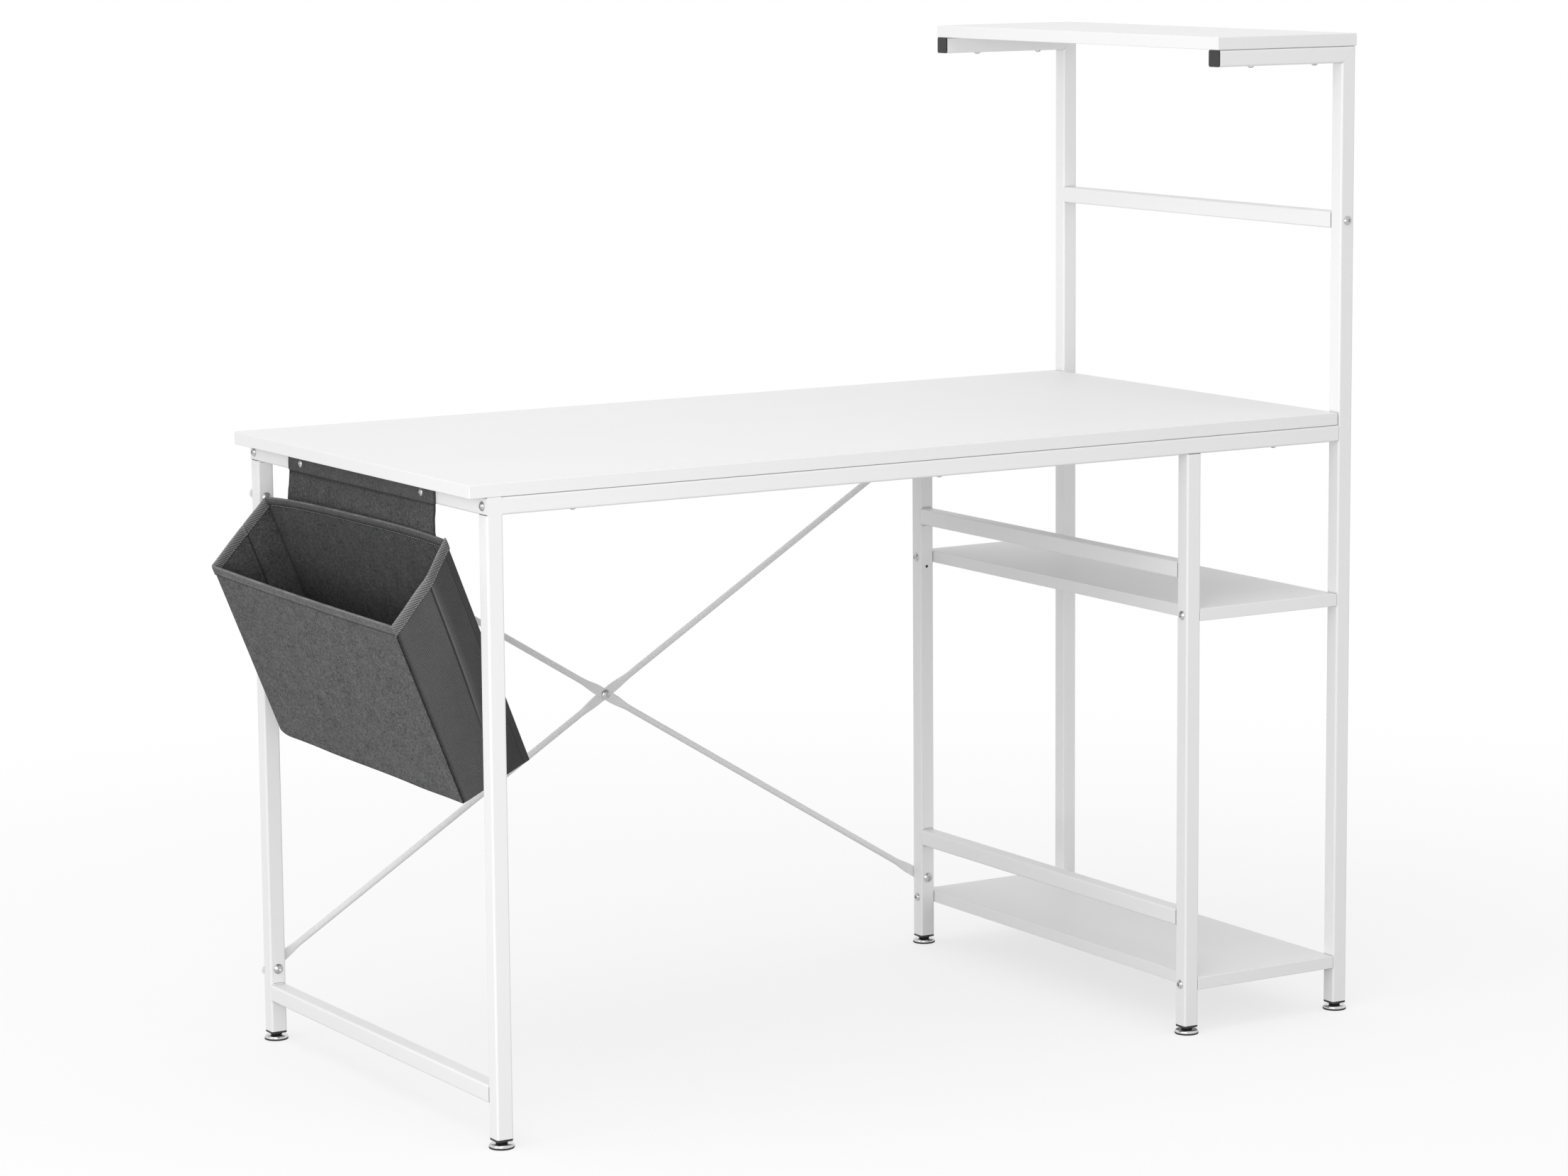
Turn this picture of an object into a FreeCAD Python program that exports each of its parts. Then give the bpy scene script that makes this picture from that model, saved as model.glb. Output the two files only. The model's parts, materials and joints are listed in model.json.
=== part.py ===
import FreeCAD, Part
import math
import os

# Gaming desk: white boards on a white square-tube frame, with a shelf tower at the right end,
# a crossed brace at the back, levelling feet and a fabric pocket hung from the left end.
# Millimetres. X runs from the pocket end to the tower, Y from the front edge to the back, Z up from the
# floor.

Vector = FreeCAD.Vector
RIGHT = Vector(1, 0, 0)
BACK = Vector(0, 1, 0)
UP = Vector(0, 0, 1)

# Overall sizes
desk_length = 1200.0
desk_depth = 600.0
desk_height = 740.0
tower_height = 1194.0

# Boards
board_thickness = 15.0
board_edge_round = 0.8
desktop_tower_gap = 1.5
middle_shelf_drop = 221.0
lower_shelf_height = 69.0
raised_shelf_left_overhang = 3.0
raised_shelf_right_overhang = 1.5

# Square tubes of the frame; cross members are placed by their tops, guard rails above their shelves
tube_size = 20.0
tube_wall = 1.2
tube_corner_radius = 2.5
left_frame_inset = 20.5
left_lower_rail_height = 69.0
upper_guard_rise = 56.0
lower_guard_rise = 83.0
cross_rail_drop = 213.0
shelf_bay_length = 205.0
shelf_arm_length = 201.0
vent_hole_diameter = 4.0
vent_hole_drop = 12.0

# Caps on the open ends of the raised shelf's arms
cap_plate_thickness = 2.0
cap_plug_length = 15.0

# Bolts, nut plates inside the tube ends and insert nuts in the shelf boards
bolt_diameter = 6.0
bolt_head_diameter = 10.5
bolt_head_height = 3.3
bolt_socket_size = 4.0
bolt_socket_depth = 2.0
bolt_end_gap = 2.0
nut_plate_thickness = 4.0
insert_nut_diameter = 8.0
insert_nut_length = 12.0
bolt_recess_clearance = 0.7

# Wood screws into the boards, and screws that hold the pocket's flap
screw_diameter = 4.0
screw_head_diameter = 8.0
screw_head_height = 2.6
screw_reach = 10.0
screw_slot_width = 1.2
screw_slot_depth = 1.3
pocket_screw_head_diameter = 10.0
pocket_screw_length = 14.0

# Crossed brace of round bars, flattened at the ends and where they cross
brace_diameter = 8.0
brace_flat_width = 12.6
brace_flat_thickness = 2.0
brace_end_margin = 15.0
brace_end_flat = 19.0
brace_taper = 14.0
brace_centre_flat = 15.0
brace_low_rise = 19.0
brace_high_drop = 44.0
brace_bolt_head_diameter = 12.0
brace_nut_size = 10.0
brace_nut_thickness = 5.0
brace_bolt_tail = 1.5

# Levelling feet: rubber sole, steel disc, threaded stud and the plastic insert in the tube's end
sole_diameter = 28.6
sole_thickness = 2.0
disc_diameter = 28.0
disc_thickness = 3.2
disc_rim_radius = 2.4
boss_height = 3.0
boss_top_diameter = 17.0
boss_bottom_diameter = 13.0
insert_flange_thickness = 2.5
insert_plug_length = 22.0
stud_diameter = 8.0
stud_length = 36.0
thread_pitch = 1.25
thread_depth = 0.6
stud_neck_diameter = 6.0
rivet_diameter = 9.0
rivet_thickness = 0.9

# Fabric pocket on the left end
pocket_width = 416.0
pocket_depth = 100.0
pocket_back_height = 276.0
pocket_front_drop = 46.0
pocket_tilt = 22.0
pocket_centre = 305.0
pocket_panel_thickness = 2.5
gusset_thickness = 1.5
front_board_thickness = 2.8
front_board_margin = 4.0
binding_width = 10.0
binding_thickness = 1.0
flap_width = 370.0
flap_drop = 36.0
flap_thickness = 1.5
flap_top_gap = 2.0
pocket_screw_margin = 31.5

# Clearances: around bolts in plain holes, between threads, around pieces pushed into a tube, and running
hole_clearance = 0.25
thread_clearance = 0.05
push_clearance = 0.1
running_clearance = 0.1
moving_gap = 0.3
cut_overrun = 1.0

# Shares of the sizes that they follow
head_rim_share = 0.22
bolt_tip_share = 0.8
screw_tip_share = 0.15
screw_slot_share = 0.55
desktop_screw_shares = (0.08, 0.5, 0.92)
arm_screw_shares = (0.26, 0.73)

# Heights and places that follow from the sizes above
tube_half = tube_size / 2
tube_bore = tube_size - 2 * tube_wall
bore_corner_radius = tube_corner_radius - tube_wall
disc_bottom = sole_thickness
disc_top = disc_bottom + disc_thickness
boss_bottom = disc_top + moving_gap
tube_bottom = boss_bottom + boss_height + insert_flange_thickness
rail_top = desk_height - board_thickness
rail_middle = rail_top - tube_half
rail_bottom = rail_top - tube_size
arm_top = tower_height - board_thickness
arm_middle = arm_top - tube_half
left_frame_x = left_frame_inset + tube_half
tall_post_x = desk_length - tube_half
inner_post_x = desk_length - tube_size - shelf_bay_length - tube_half
front_y = tube_half
rear_y = desk_depth - tube_half
arm_start = desk_length - shelf_arm_length
bolt_length = tube_size + insert_nut_length - bolt_end_gap
bolt_hole = bolt_diameter + 2 * hole_clearance
screw_hole = screw_diameter + 2 * hole_clearance
screw_length = tube_size + screw_reach
middle_shelf_height = desk_height - middle_shelf_drop
cross_rail_middle = tower_height - cross_rail_drop - tube_half
shelf_heights = (middle_shelf_height, lower_shelf_height)
shelf_bolt_heights = [height - board_thickness / 2 for height in shelf_heights]
brace_low_height = left_lower_rail_height + brace_low_rise
brace_high_height = rail_bottom - brace_high_drop
brace_heights = (brace_low_height, brace_high_height)
post_rows = (front_y, rear_y)

nodes = {}


def square_bar(size, radius, length):
    """Square bar with rounded long edges, centred on the Z axis and standing on the XY plane."""
    half = size / 2
    bar = Part.makeBox(size, size, length, Vector(-half, -half, 0))
    long_edges = [edge for edge in bar.Edges if round(abs(edge.Curve.Direction.dot(UP))) == 1]
    return bar.makeFillet(radius, long_edges)


def place(shape, point, direction):
    """Copy of a shape with its own Z axis along a direction and its own origin at a point."""
    moved = shape.copy()
    moved.Placement = FreeCAD.Placement(point, FreeCAD.Rotation(UP, direction)).multiply(moved.Placement)
    return moved


def tube(start, end, end_wall=-cut_overrun):
    """Square tube between two points on its axis, open at both ends unless an end wall is given."""
    run = end - start
    outside = square_bar(tube_size, tube_corner_radius, run.Length)
    inside = square_bar(tube_bore, bore_corner_radius, run.Length - 2 * end_wall)
    inside.translate(UP * end_wall)
    return place(outside.cut(inside), start, run)


def tube_hole(diameter, centre, direction):
    """Cutting cylinder right through a tube, square to it, about a point on its axis."""
    reach = tube_half + cut_overrun
    return Part.makeCylinder(diameter / 2, 2 * reach, centre - direction * reach, direction)


def board(corner, length, thickness):
    """Board of the full desk depth with lightly rounded edges."""
    plate = Part.makeBox(length, desk_depth, thickness, corner)
    return plate.makeFillet(board_edge_round, plate.Edges)


def spin(points):
    """Solid of revolution about Z from a closed outline of radius and height pairs."""
    corners = [Vector(radius, 0, height) for radius, height in points]
    outline = Part.makePolygon(corners + corners[:1])
    return Part.Face(outline).revolve(Vector(), UP, 360)


def hexagon_prism(across_flats, height):
    """Hexagonal prism on the Z axis, standing on the XY plane."""
    corner_radius = across_flats / math.sqrt(3)
    corners = []
    for step in range(7):
        angle = math.radians(60 * step)
        corners.append(Vector(corner_radius * math.cos(angle), corner_radius * math.sin(angle), 0))
    return Part.Face(Part.makePolygon(corners)).extrude(UP * height)


def fastener(head, diameter, length, tip_share, recess):
    """Domed fastener seated on the XY plane, with its shank along Z and a recess cut in its head."""
    head_diameter, head_height = head
    head_radius = head_diameter / 2
    radius = diameter / 2
    rim = head_height * head_rim_share
    dome = head_height - rim
    dome_radius = (head_radius ** 2 + dome ** 2) / (2 * dome)
    half_angle = math.asin(head_radius / dome_radius) / 2
    crown = Vector(0, 0, -head_height)
    halfway_drop = dome_radius * (1 - math.cos(half_angle))
    halfway = Vector(dome_radius * math.sin(half_angle), 0, halfway_drop - head_height)
    corners = [
        Vector(head_radius, 0, -rim),
        Vector(head_radius, 0, 0),
        Vector(radius, 0, 0),
        Vector(radius, 0, length - radius),
        Vector(radius * tip_share, 0, length),
        Vector(0, 0, length),
        crown,
    ]
    edges = [Part.Arc(crown, halfway, corners[0]).toShape()]
    for first, second in zip(corners, corners[1:]):
        edges.append(Part.LineSegment(first, second).toShape())
    turned = Part.Face(Part.Wire(edges)).revolve(Vector(), UP, 360)
    return turned.cut(recess.translated(crown))


def socket_recess():
    """Hexagon socket, sunk from the XY plane, with room above it."""
    return hexagon_prism(bolt_socket_size, bolt_socket_depth + cut_overrun).translated(UP * -cut_overrun)


def cross_recess(head_diameter):
    """Cross slot, sunk from the XY plane, with room above it."""
    length = head_diameter * screw_slot_share
    depth = screw_slot_depth + cut_overrun
    corner = Vector(-length / 2, -screw_slot_width / 2, -cut_overrun)
    slot = Part.makeBox(length, screw_slot_width, depth, corner)
    crossing = slot.copy()
    crossing.rotate(Vector(), UP, 90)
    return slot.fuse(crossing)


def bolt(point, direction):
    """Frame or shelf bolt with its head seated at a point and its shank along a direction."""
    head = (bolt_head_diameter, bolt_head_height)
    shape = fastener(head, bolt_diameter, bolt_length, bolt_tip_share, socket_recess())
    return place(shape, point, direction)


def wood_screw(point):
    """Wood screw with its head seated at a point and its shank upwards."""
    head = (screw_head_diameter, screw_head_height)
    shape = fastener(head, screw_diameter, screw_length, screw_tip_share, cross_recess(screw_head_diameter))
    return place(shape, point, UP)


def screw_pilots(points):
    """Pilot holes that the wood screws with these seats leave in a board."""
    diameter = screw_diameter + 2 * thread_clearance
    length = screw_length + thread_clearance
    return [Part.makeCylinder(diameter / 2, length, point, UP) for point in points]


def bolt_thread(length):
    """Cutting cylinder for a bolt's thread through a nut of a length that stands on the XY plane."""
    radius = bolt_diameter / 2 + thread_clearance
    return Part.makeCylinder(radius, length + 2 * cut_overrun, UP * -cut_overrun)


def nut_plate(point, direction):
    """Square nut plate inside a tube, flush with the tube's end at a point, along a direction."""
    size = tube_bore - 2 * push_clearance
    plate = square_bar(size, bore_corner_radius, nut_plate_thickness)
    return place(plate.cut(bolt_thread(nut_plate_thickness)), point, direction)


def insert_nut(point, direction):
    """Round insert nut in a board's end, flush at a point and running along a direction."""
    body = Part.makeCylinder(insert_nut_diameter / 2, insert_nut_length)
    return place(body.cut(bolt_thread(insert_nut_length)), point, direction)


# Seats of the fasteners, each with the direction of its shank
end_rail_seats = [(Vector(left_frame_inset, y, rail_middle), RIGHT) for y in post_rows]
tower_rail_seats = [(Vector(desk_length, y, rail_middle), -RIGHT) for y in post_rows]
cross_rail_seats = [
    (Vector(tall_post_x, 0, cross_rail_middle), BACK),
    (Vector(tall_post_x, desk_depth, cross_rail_middle), -BACK),
]
post_top_seats = [(Vector(inner_post_x, y, rail_top), -UP) for y in post_rows]
inner_shelf_seats = []
tower_shelf_seats = []
for height in shelf_bolt_heights:
    for y in post_rows:
        inner_shelf_seats.append((Vector(inner_post_x - tube_half, y, height), RIGHT))
        tower_shelf_seats.append((Vector(desk_length, y, height), -RIGHT))
frame_seats = end_rail_seats + tower_rail_seats + cross_rail_seats + post_top_seats
shelf_seats = inner_shelf_seats + tower_shelf_seats

rail_start = left_frame_inset + tube_size
rail_end = desk_length - tube_size
desktop_screw_seats = []
for y in post_rows:
    for share in desktop_screw_shares:
        x = rail_start + (rail_end - rail_start) * share
        desktop_screw_seats.append(Vector(x, y, rail_bottom))
arm_screw_seats = []
for y in post_rows:
    for share in arm_screw_shares:
        arm_screw_seats.append(Vector(arm_start + shelf_arm_length * share, y, arm_top - tube_size))


# Left end frame: top rail over two legs, with a lower rail between them
top_rail_start = Vector(left_frame_x, 0, rail_middle)
top_rail = tube(top_rail_start, top_rail_start + BACK * desk_depth, tube_wall)
pocket_screw_reach = flap_width / 2 - pocket_screw_margin
pocket_screw_places = (pocket_centre - pocket_screw_reach, pocket_centre + pocket_screw_reach)
top_rail_cuts = [tube_hole(bolt_hole, Vector(left_frame_x, y, rail_middle), RIGHT) for y in post_rows]
for y in pocket_screw_places:
    start = Vector(left_frame_inset - cut_overrun, y, rail_middle)
    pilot_radius = screw_diameter / 2 + thread_clearance
    top_rail_cuts.append(Part.makeCylinder(pilot_radius, tube_wall + 2 * cut_overrun, start, RIGHT))
nodes["left_top_rail"] = top_rail.cut(top_rail_cuts)


def upright(x, y, top):
    """Upright tube from its levelling foot to a height."""
    return tube(Vector(x, y, tube_bottom), Vector(x, y, top))


def brace_holes(x):
    """Holes for the brace's bolts through the rear upright at one X."""
    return [tube_hole(bolt_hole, Vector(x, rear_y, height), BACK) for height in brace_heights]


nodes["left_front_leg"] = upright(left_frame_x, front_y, rail_bottom)
nodes["left_rear_leg"] = upright(left_frame_x, rear_y, rail_bottom).cut(brace_holes(left_frame_x))


def cross_member(x, middle):
    """Tube along Y between the front and rear uprights at one X, with its axis at a height."""
    return tube(Vector(x, tube_size, middle), Vector(x, desk_depth - tube_size, middle))


nodes["left_lower_rail"] = cross_member(left_frame_x, left_lower_rail_height - tube_half)


# Long rails under the desktop
def long_rail(y):
    """Rail from the left end frame to a tall post, holed for desktop screws and the inner post's bolt."""
    rail = tube(Vector(rail_start, y, rail_middle), Vector(rail_end, y, rail_middle))
    cuts = [tube_hole(bolt_hole, Vector(inner_post_x, y, rail_middle), UP)]
    for seat in desktop_screw_seats:
        if seat.y == y:
            cuts.append(tube_hole(screw_hole, Vector(seat.x, y, rail_middle), UP))
    return rail.cut(cuts)


nodes["front_rail"] = long_rail(front_y)
nodes["rear_rail"] = long_rail(rear_y)


# Inner posts of the shelf bay, with two guard rails between them
def shelf_bolt_holes(x, y):
    """Holes for the shelf bolts through one upright."""
    return [tube_hole(bolt_hole, Vector(x, y, height), RIGHT) for height in shelf_bolt_heights]


def inner_post(y):
    """Post from a levelling foot up to a long rail, holed for the shelf bolts."""
    post = upright(inner_post_x, y, rail_bottom)
    return post.cut(shelf_bolt_holes(inner_post_x, y))


nodes["inner_front_post"] = inner_post(front_y)
vent_height = middle_shelf_height - board_thickness / 2 - vent_hole_drop
vent_start = Vector(inner_post_x, desk_depth - tube_size - cut_overrun, vent_height)
vent_hole = Part.makeCylinder(vent_hole_diameter / 2, tube_wall + 2 * cut_overrun, vent_start, BACK)
nodes["inner_rear_post"] = inner_post(rear_y).cut(brace_holes(inner_post_x) + [vent_hole])
upper_guard_middle = middle_shelf_height + upper_guard_rise - tube_half
lower_guard_middle = lower_shelf_height + lower_guard_rise - tube_half
nodes["upper_guard_rail"] = cross_member(inner_post_x, upper_guard_middle)
nodes["lower_guard_rail"] = cross_member(inner_post_x, lower_guard_middle)


# Tall posts of the tower, mitred at the top to the arms that carry the raised shelf
inner_corner = Vector(desk_length - tube_size - cut_overrun, 0, arm_top - tube_size - cut_overrun)
outer_corner = Vector(desk_length + cut_overrun, 0, arm_top + cut_overrun)


def mitre_wedge(third_corner):
    """Wedge on one side of the mitre plane between a post and its arm, over the whole depth."""
    outline = Part.makePolygon([inner_corner, outer_corner, third_corner, inner_corner])
    return Part.Face(outline).extrude(BACK * desk_depth)


def rounded_tower_corner():
    """What the rounded outer corner of post and arm leaves outside."""
    edge = Vector(desk_length - tube_corner_radius, 0, arm_top - tube_corner_radius)
    side = tube_corner_radius + cut_overrun
    block = Part.makeBox(side, desk_depth, side, edge)
    return block.cut(Part.makeCylinder(tube_corner_radius, desk_depth, edge, BACK))


above_mitre = mitre_wedge(Vector(inner_corner.x, 0, outer_corner.z))
below_mitre = mitre_wedge(Vector(outer_corner.x, 0, inner_corner.z))


def tall_post(y):
    """Tower post, holed for the long rail, the shelves and the cross rail."""
    post = upright(tall_post_x, y, arm_top)
    cuts = [above_mitre, rounded_tower_corner()] + shelf_bolt_holes(tall_post_x, y)
    cuts.append(tube_hole(bolt_hole, Vector(tall_post_x, y, rail_middle), RIGHT))
    cuts.append(tube_hole(bolt_hole, Vector(tall_post_x, y, cross_rail_middle), BACK))
    return post.cut(cuts)


def shelf_arm(y):
    """Arm from the top of a tall post, holed for the raised shelf's screws."""
    arm = tube(Vector(arm_start, y, arm_middle), Vector(desk_length, y, arm_middle))
    cuts = [below_mitre, rounded_tower_corner()]
    for seat in arm_screw_seats:
        if seat.y == y:
            cuts.append(tube_hole(screw_hole, Vector(seat.x, y, arm_middle), UP))
    return arm.cut(cuts)


nodes["tall_front_post"] = tall_post(front_y)
nodes["tall_rear_post"] = tall_post(rear_y)
nodes["front_shelf_arm"] = shelf_arm(front_y)
nodes["rear_shelf_arm"] = shelf_arm(rear_y)
nodes["tower_cross_rail"] = cross_member(tall_post_x, cross_rail_middle)


def arm_cap(y):
    """Plastic cap in an arm's open end."""
    plate = square_bar(tube_size, tube_corner_radius, cap_plate_thickness)
    plug = square_bar(tube_bore - 2 * push_clearance, bore_corner_radius, cap_plug_length)
    shape = plate.fuse(plug.translated(UP * cap_plate_thickness))
    return place(shape, Vector(arm_start - cap_plate_thickness, y, arm_middle), RIGHT)


nodes["arm_end_caps"] = Part.makeCompound([arm_cap(y) for y in post_rows])


# Boards
desktop_length = rail_end - desktop_tower_gap
desktop = board(Vector(0, 0, rail_top), desktop_length, board_thickness)
desktop_cuts = screw_pilots(desktop_screw_seats)
recess_radius = bolt_head_diameter / 2 + bolt_recess_clearance
recess_depth = bolt_head_height + bolt_recess_clearance
for seat, _ in post_top_seats:
    desktop_cuts.append(Part.makeCylinder(recess_radius, recess_depth, seat, UP))
nodes["desktop"] = desktop.cut(desktop_cuts)


def shelf(height):
    """Shelf between the inner and tall posts, bored at both ends for its insert nuts."""
    start = inner_post_x + tube_half
    plate = board(Vector(start, 0, height - board_thickness), shelf_bay_length, board_thickness)
    bore_radius = insert_nut_diameter / 2 + thread_clearance
    bore_depth = insert_nut_length + thread_clearance
    bores = []
    for y in post_rows:
        for x, direction in ((start, RIGHT), (start + shelf_bay_length, -RIGHT)):
            mouth = Vector(x, y, height - board_thickness / 2)
            bores.append(Part.makeCylinder(bore_radius, bore_depth, mouth, direction))
    return plate.cut(bores)


nodes["middle_shelf"] = shelf(middle_shelf_height)
nodes["lower_shelf"] = shelf(lower_shelf_height)
raised_shelf_start = arm_start - raised_shelf_left_overhang
raised_shelf_length = desk_length + raised_shelf_right_overhang - raised_shelf_start
raised_shelf = board(Vector(raised_shelf_start, 0, arm_top), raised_shelf_length, board_thickness)
nodes["raised_shelf"] = raised_shelf.cut(screw_pilots(arm_screw_seats))


# Fasteners of the frame and the boards
nodes["frame_bolts"] = Part.makeCompound([bolt(point, direction) for point, direction in frame_seats])
nodes["shelf_bolts"] = Part.makeCompound([bolt(point, direction) for point, direction in shelf_seats])
plates = [nut_plate(point + direction * tube_size, direction) for point, direction in frame_seats]
nodes["nut_plates"] = Part.makeCompound(plates)
inserts = [insert_nut(point + direction * tube_size, direction) for point, direction in shelf_seats]
nodes["shelf_insert_nuts"] = Part.makeCompound(inserts)
nodes["desktop_screws"] = Part.makeCompound([wood_screw(seat) for seat in desktop_screw_seats])
nodes["arm_screws"] = Part.makeCompound([wood_screw(seat) for seat in arm_screw_seats])


# Crossed brace on the back of the rear uprights
def ring_section(x):
    """Round section of a bar, as four quarter arcs, square to the bar at a distance along it."""
    radius = brace_diameter / 2
    points = []
    for step in range(9):
        angle = math.radians(45 * step - 135)
        points.append(Vector(x, brace_flat_thickness + radius * math.cos(angle), radius * math.sin(angle)))
    arcs = [Part.Arc(points[turn], points[turn + 1], points[turn + 2]).toShape() for turn in (0, 2, 4, 6)]
    return Part.Wire(arcs)


def flat_section(x, front):
    """Flattened section of a bar, square to it at a distance along it, from its front face backwards."""
    back = front + brace_flat_thickness
    half = brace_flat_width / 2
    outline = ((front, -half), (back, -half), (back, half), (front, half), (front, -half))
    return Part.makePolygon([Vector(x, y, z) for y, z in outline])


def brace_bar(left_height, right_height, centre_front):
    """Bar between the left rear leg and the inner rear post, holed at its ends and where the bars cross."""
    rise = right_height - left_height
    span = math.hypot(inner_post_x - left_frame_x, rise)
    flat_ends = (-brace_end_margin, brace_end_flat)
    centre = span / 2
    stations = [
        flat_section(flat_ends[0], 0),
        flat_section(flat_ends[1], 0),
        ring_section(flat_ends[1] + brace_taper),
        ring_section(centre - brace_centre_flat - brace_taper),
        flat_section(centre - brace_centre_flat, centre_front),
        flat_section(centre + brace_centre_flat, centre_front),
        ring_section(centre + brace_centre_flat + brace_taper),
        ring_section(span - flat_ends[1] - brace_taper),
        flat_section(span - flat_ends[1], 0),
        flat_section(span - flat_ends[0], 0),
    ]
    pairs = zip(stations, stations[1:])
    stretches = [Part.makeLoft([first, second], True, True) for first, second in pairs]
    bar = stretches[0].multiFuse(stretches[1:])
    hole_start = Vector(0, -cut_overrun, 0)
    hole_length = 2 * (brace_flat_thickness + cut_overrun)
    holes = []
    for x in (0, centre, span):
        holes.append(Part.makeCylinder(bolt_hole / 2, hole_length, hole_start + RIGHT * x, BACK))
    bar = bar.cut(holes)
    bar.rotate(Vector(), BACK, -math.degrees(math.atan2(rise, inner_post_x - left_frame_x)))
    return bar.translated(Vector(left_frame_x, desk_depth, left_height))


nodes["falling_brace_bar"] = brace_bar(brace_high_height, brace_low_height, 0)
nodes["rising_brace_bar"] = brace_bar(brace_low_height, brace_high_height, brace_flat_thickness)


def brace_bolt(point, grip):
    """Wide-headed bolt through a grip, with its head seated at a point and its shank backwards."""
    length = grip + brace_nut_thickness + brace_bolt_tail
    head = (brace_bolt_head_diameter, bolt_head_height)
    shape = fastener(head, bolt_diameter, length, bolt_tip_share, socket_recess())
    return place(shape, point, BACK)


def brace_nut(point):
    """Hexagon nut with its front face at a point."""
    nut = hexagon_prism(brace_nut_size, brace_nut_thickness)
    return place(nut.cut(bolt_thread(brace_nut_thickness)), point, BACK)


brace_ends = []
for x in (left_frame_x, inner_post_x):
    for height in brace_heights:
        brace_ends.append(Vector(x, desk_depth, height))
brace_crossing = (brace_ends[0] + brace_ends[-1]) * 0.5
brace_bolts = [brace_bolt(end - BACK * tube_size, tube_size + brace_flat_thickness) for end in brace_ends]
nodes["brace_bolts"] = Part.makeCompound(brace_bolts)
nodes["brace_centre_bolt"] = brace_bolt(brace_crossing, 2 * brace_flat_thickness)
brace_nuts = [brace_nut(end + BACK * brace_flat_thickness) for end in brace_ends]
brace_nuts.append(brace_nut(brace_crossing + BACK * 2 * brace_flat_thickness))
nodes["brace_nuts"] = Part.makeCompound(brace_nuts)


# Levelling feet
def foot_insert():
    """Plastic insert in a tube's end: plug, flange and boss, bored for the stud."""
    flange = square_bar(tube_size, tube_corner_radius, insert_flange_thickness)
    plug = square_bar(tube_bore - 2 * push_clearance, bore_corner_radius, insert_plug_length)
    boss = Part.makeCone(boss_bottom_diameter / 2, boss_top_diameter / 2, boss_height)
    flange_bottom = boss_bottom + boss_height
    body = flange.translated(UP * flange_bottom)
    body = body.multiFuse([plug.translated(UP * tube_bottom), boss.translated(UP * boss_bottom)])
    bore = Part.makeCylinder(stud_diameter / 2 + moving_gap, tube_bottom + insert_plug_length + cut_overrun)
    return body.cut(bore)


def foot_sole():
    """Rubber sole with a recess for the stud's rivet head."""
    radius = sole_diameter / 2
    recess_radius = rivet_diameter / 2 + moving_gap
    recess_bottom = disc_bottom - rivet_thickness - 2 * moving_gap
    return spin([
        (0, 0),
        (radius - moving_gap, 0),
        (radius, moving_gap),
        (radius, disc_bottom),
        (recess_radius, disc_bottom),
        (recess_radius, recess_bottom),
        (0, recess_bottom),
    ])


def foot_disc():
    """Steel disc with a rounded rim and a hole for the stud's neck."""
    disc = Part.makeCylinder(disc_diameter / 2, disc_thickness, UP * disc_bottom)
    rim = [edge for edge in disc.Edges if edge.BoundBox.ZMin > disc_bottom + disc_thickness / 2]
    disc = disc.makeFillet(disc_rim_radius, rim)
    hole_radius = stud_neck_diameter / 2 + running_clearance
    hole_start = UP * (disc_bottom - cut_overrun)
    return disc.cut(Part.makeCylinder(hole_radius, disc_thickness + 2 * cut_overrun, hole_start))


def foot_stud():
    """Threaded stud, riveted through the disc so that it can turn; each thread is drawn as a ring."""
    radius = stud_diameter / 2
    neck_radius = stud_neck_diameter / 2
    rivet_radius = rivet_diameter / 2
    rivet_top = disc_bottom - moving_gap
    shoulder = disc_top + running_clearance
    top = disc_top + stud_length
    points = [
        (0, rivet_top - rivet_thickness),
        (rivet_radius, rivet_top - rivet_thickness),
        (rivet_radius, rivet_top),
        (neck_radius, rivet_top),
        (neck_radius, shoulder),
        (radius, shoulder),
    ]
    threads = int((stud_length - thread_pitch) / thread_pitch)
    for turn in range(threads):
        crest = shoulder + turn * thread_pitch + thread_pitch / 2
        points.append((radius, crest))
        points.append((radius - thread_depth, crest + thread_pitch / 2))
    points += [(radius, top - thread_depth), (radius - thread_depth, top), (0, top)]
    return spin(points)


posts = {
    "left_front": (left_frame_x, front_y),
    "left_rear": (left_frame_x, rear_y),
    "inner_front": (inner_post_x, front_y),
    "inner_rear": (inner_post_x, rear_y),
    "tall_front": (tall_post_x, front_y),
    "tall_rear": (tall_post_x, rear_y),
}
insert_shape = foot_insert()
foot_shapes = {"foot_sole": foot_sole(), "foot_disc": foot_disc(), "foot_stud": foot_stud()}
foot_inserts = [insert_shape.translated(Vector(x, y, 0)) for x, y in posts.values()]
nodes["foot_inserts"] = Part.makeCompound(foot_inserts)
for post_name, (x, y) in posts.items():
    for piece_name, shape in foot_shapes.items():
        nodes[post_name + "_" + piece_name] = shape.translated(Vector(x, y, 0))


# Pocket, drawn upright about its hinge line along the back rim and then tilted under the desk
hem_radius = pocket_panel_thickness / 2
hinge = Vector(left_frame_inset - flap_thickness / 2, pocket_centre, rail_bottom - flap_drop)
front_inside = pocket_depth - pocket_panel_thickness
base_top = pocket_back_height - pocket_panel_thickness
half_width = pocket_width / 2


def pocket_plate(corners, start, thickness):
    """Plate from an outline of outward and downward distances, extruded along Y from a start."""
    points = [Vector(-outward, start, -downward) for outward, downward in corners]
    plate = Part.Face(Part.makePolygon(points + points[:1])).extrude(BACK * thickness)
    plate.rotate(Vector(), BACK, -pocket_tilt)
    return plate.translated(hinge)


def rectangle(outward_from, outward_to, downward_from, downward_to):
    """Corners of a rectangle of outward and downward distances."""
    return [
        (outward_from, downward_from),
        (outward_to, downward_from),
        (outward_to, downward_to),
        (outward_from, downward_to),
    ]


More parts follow.
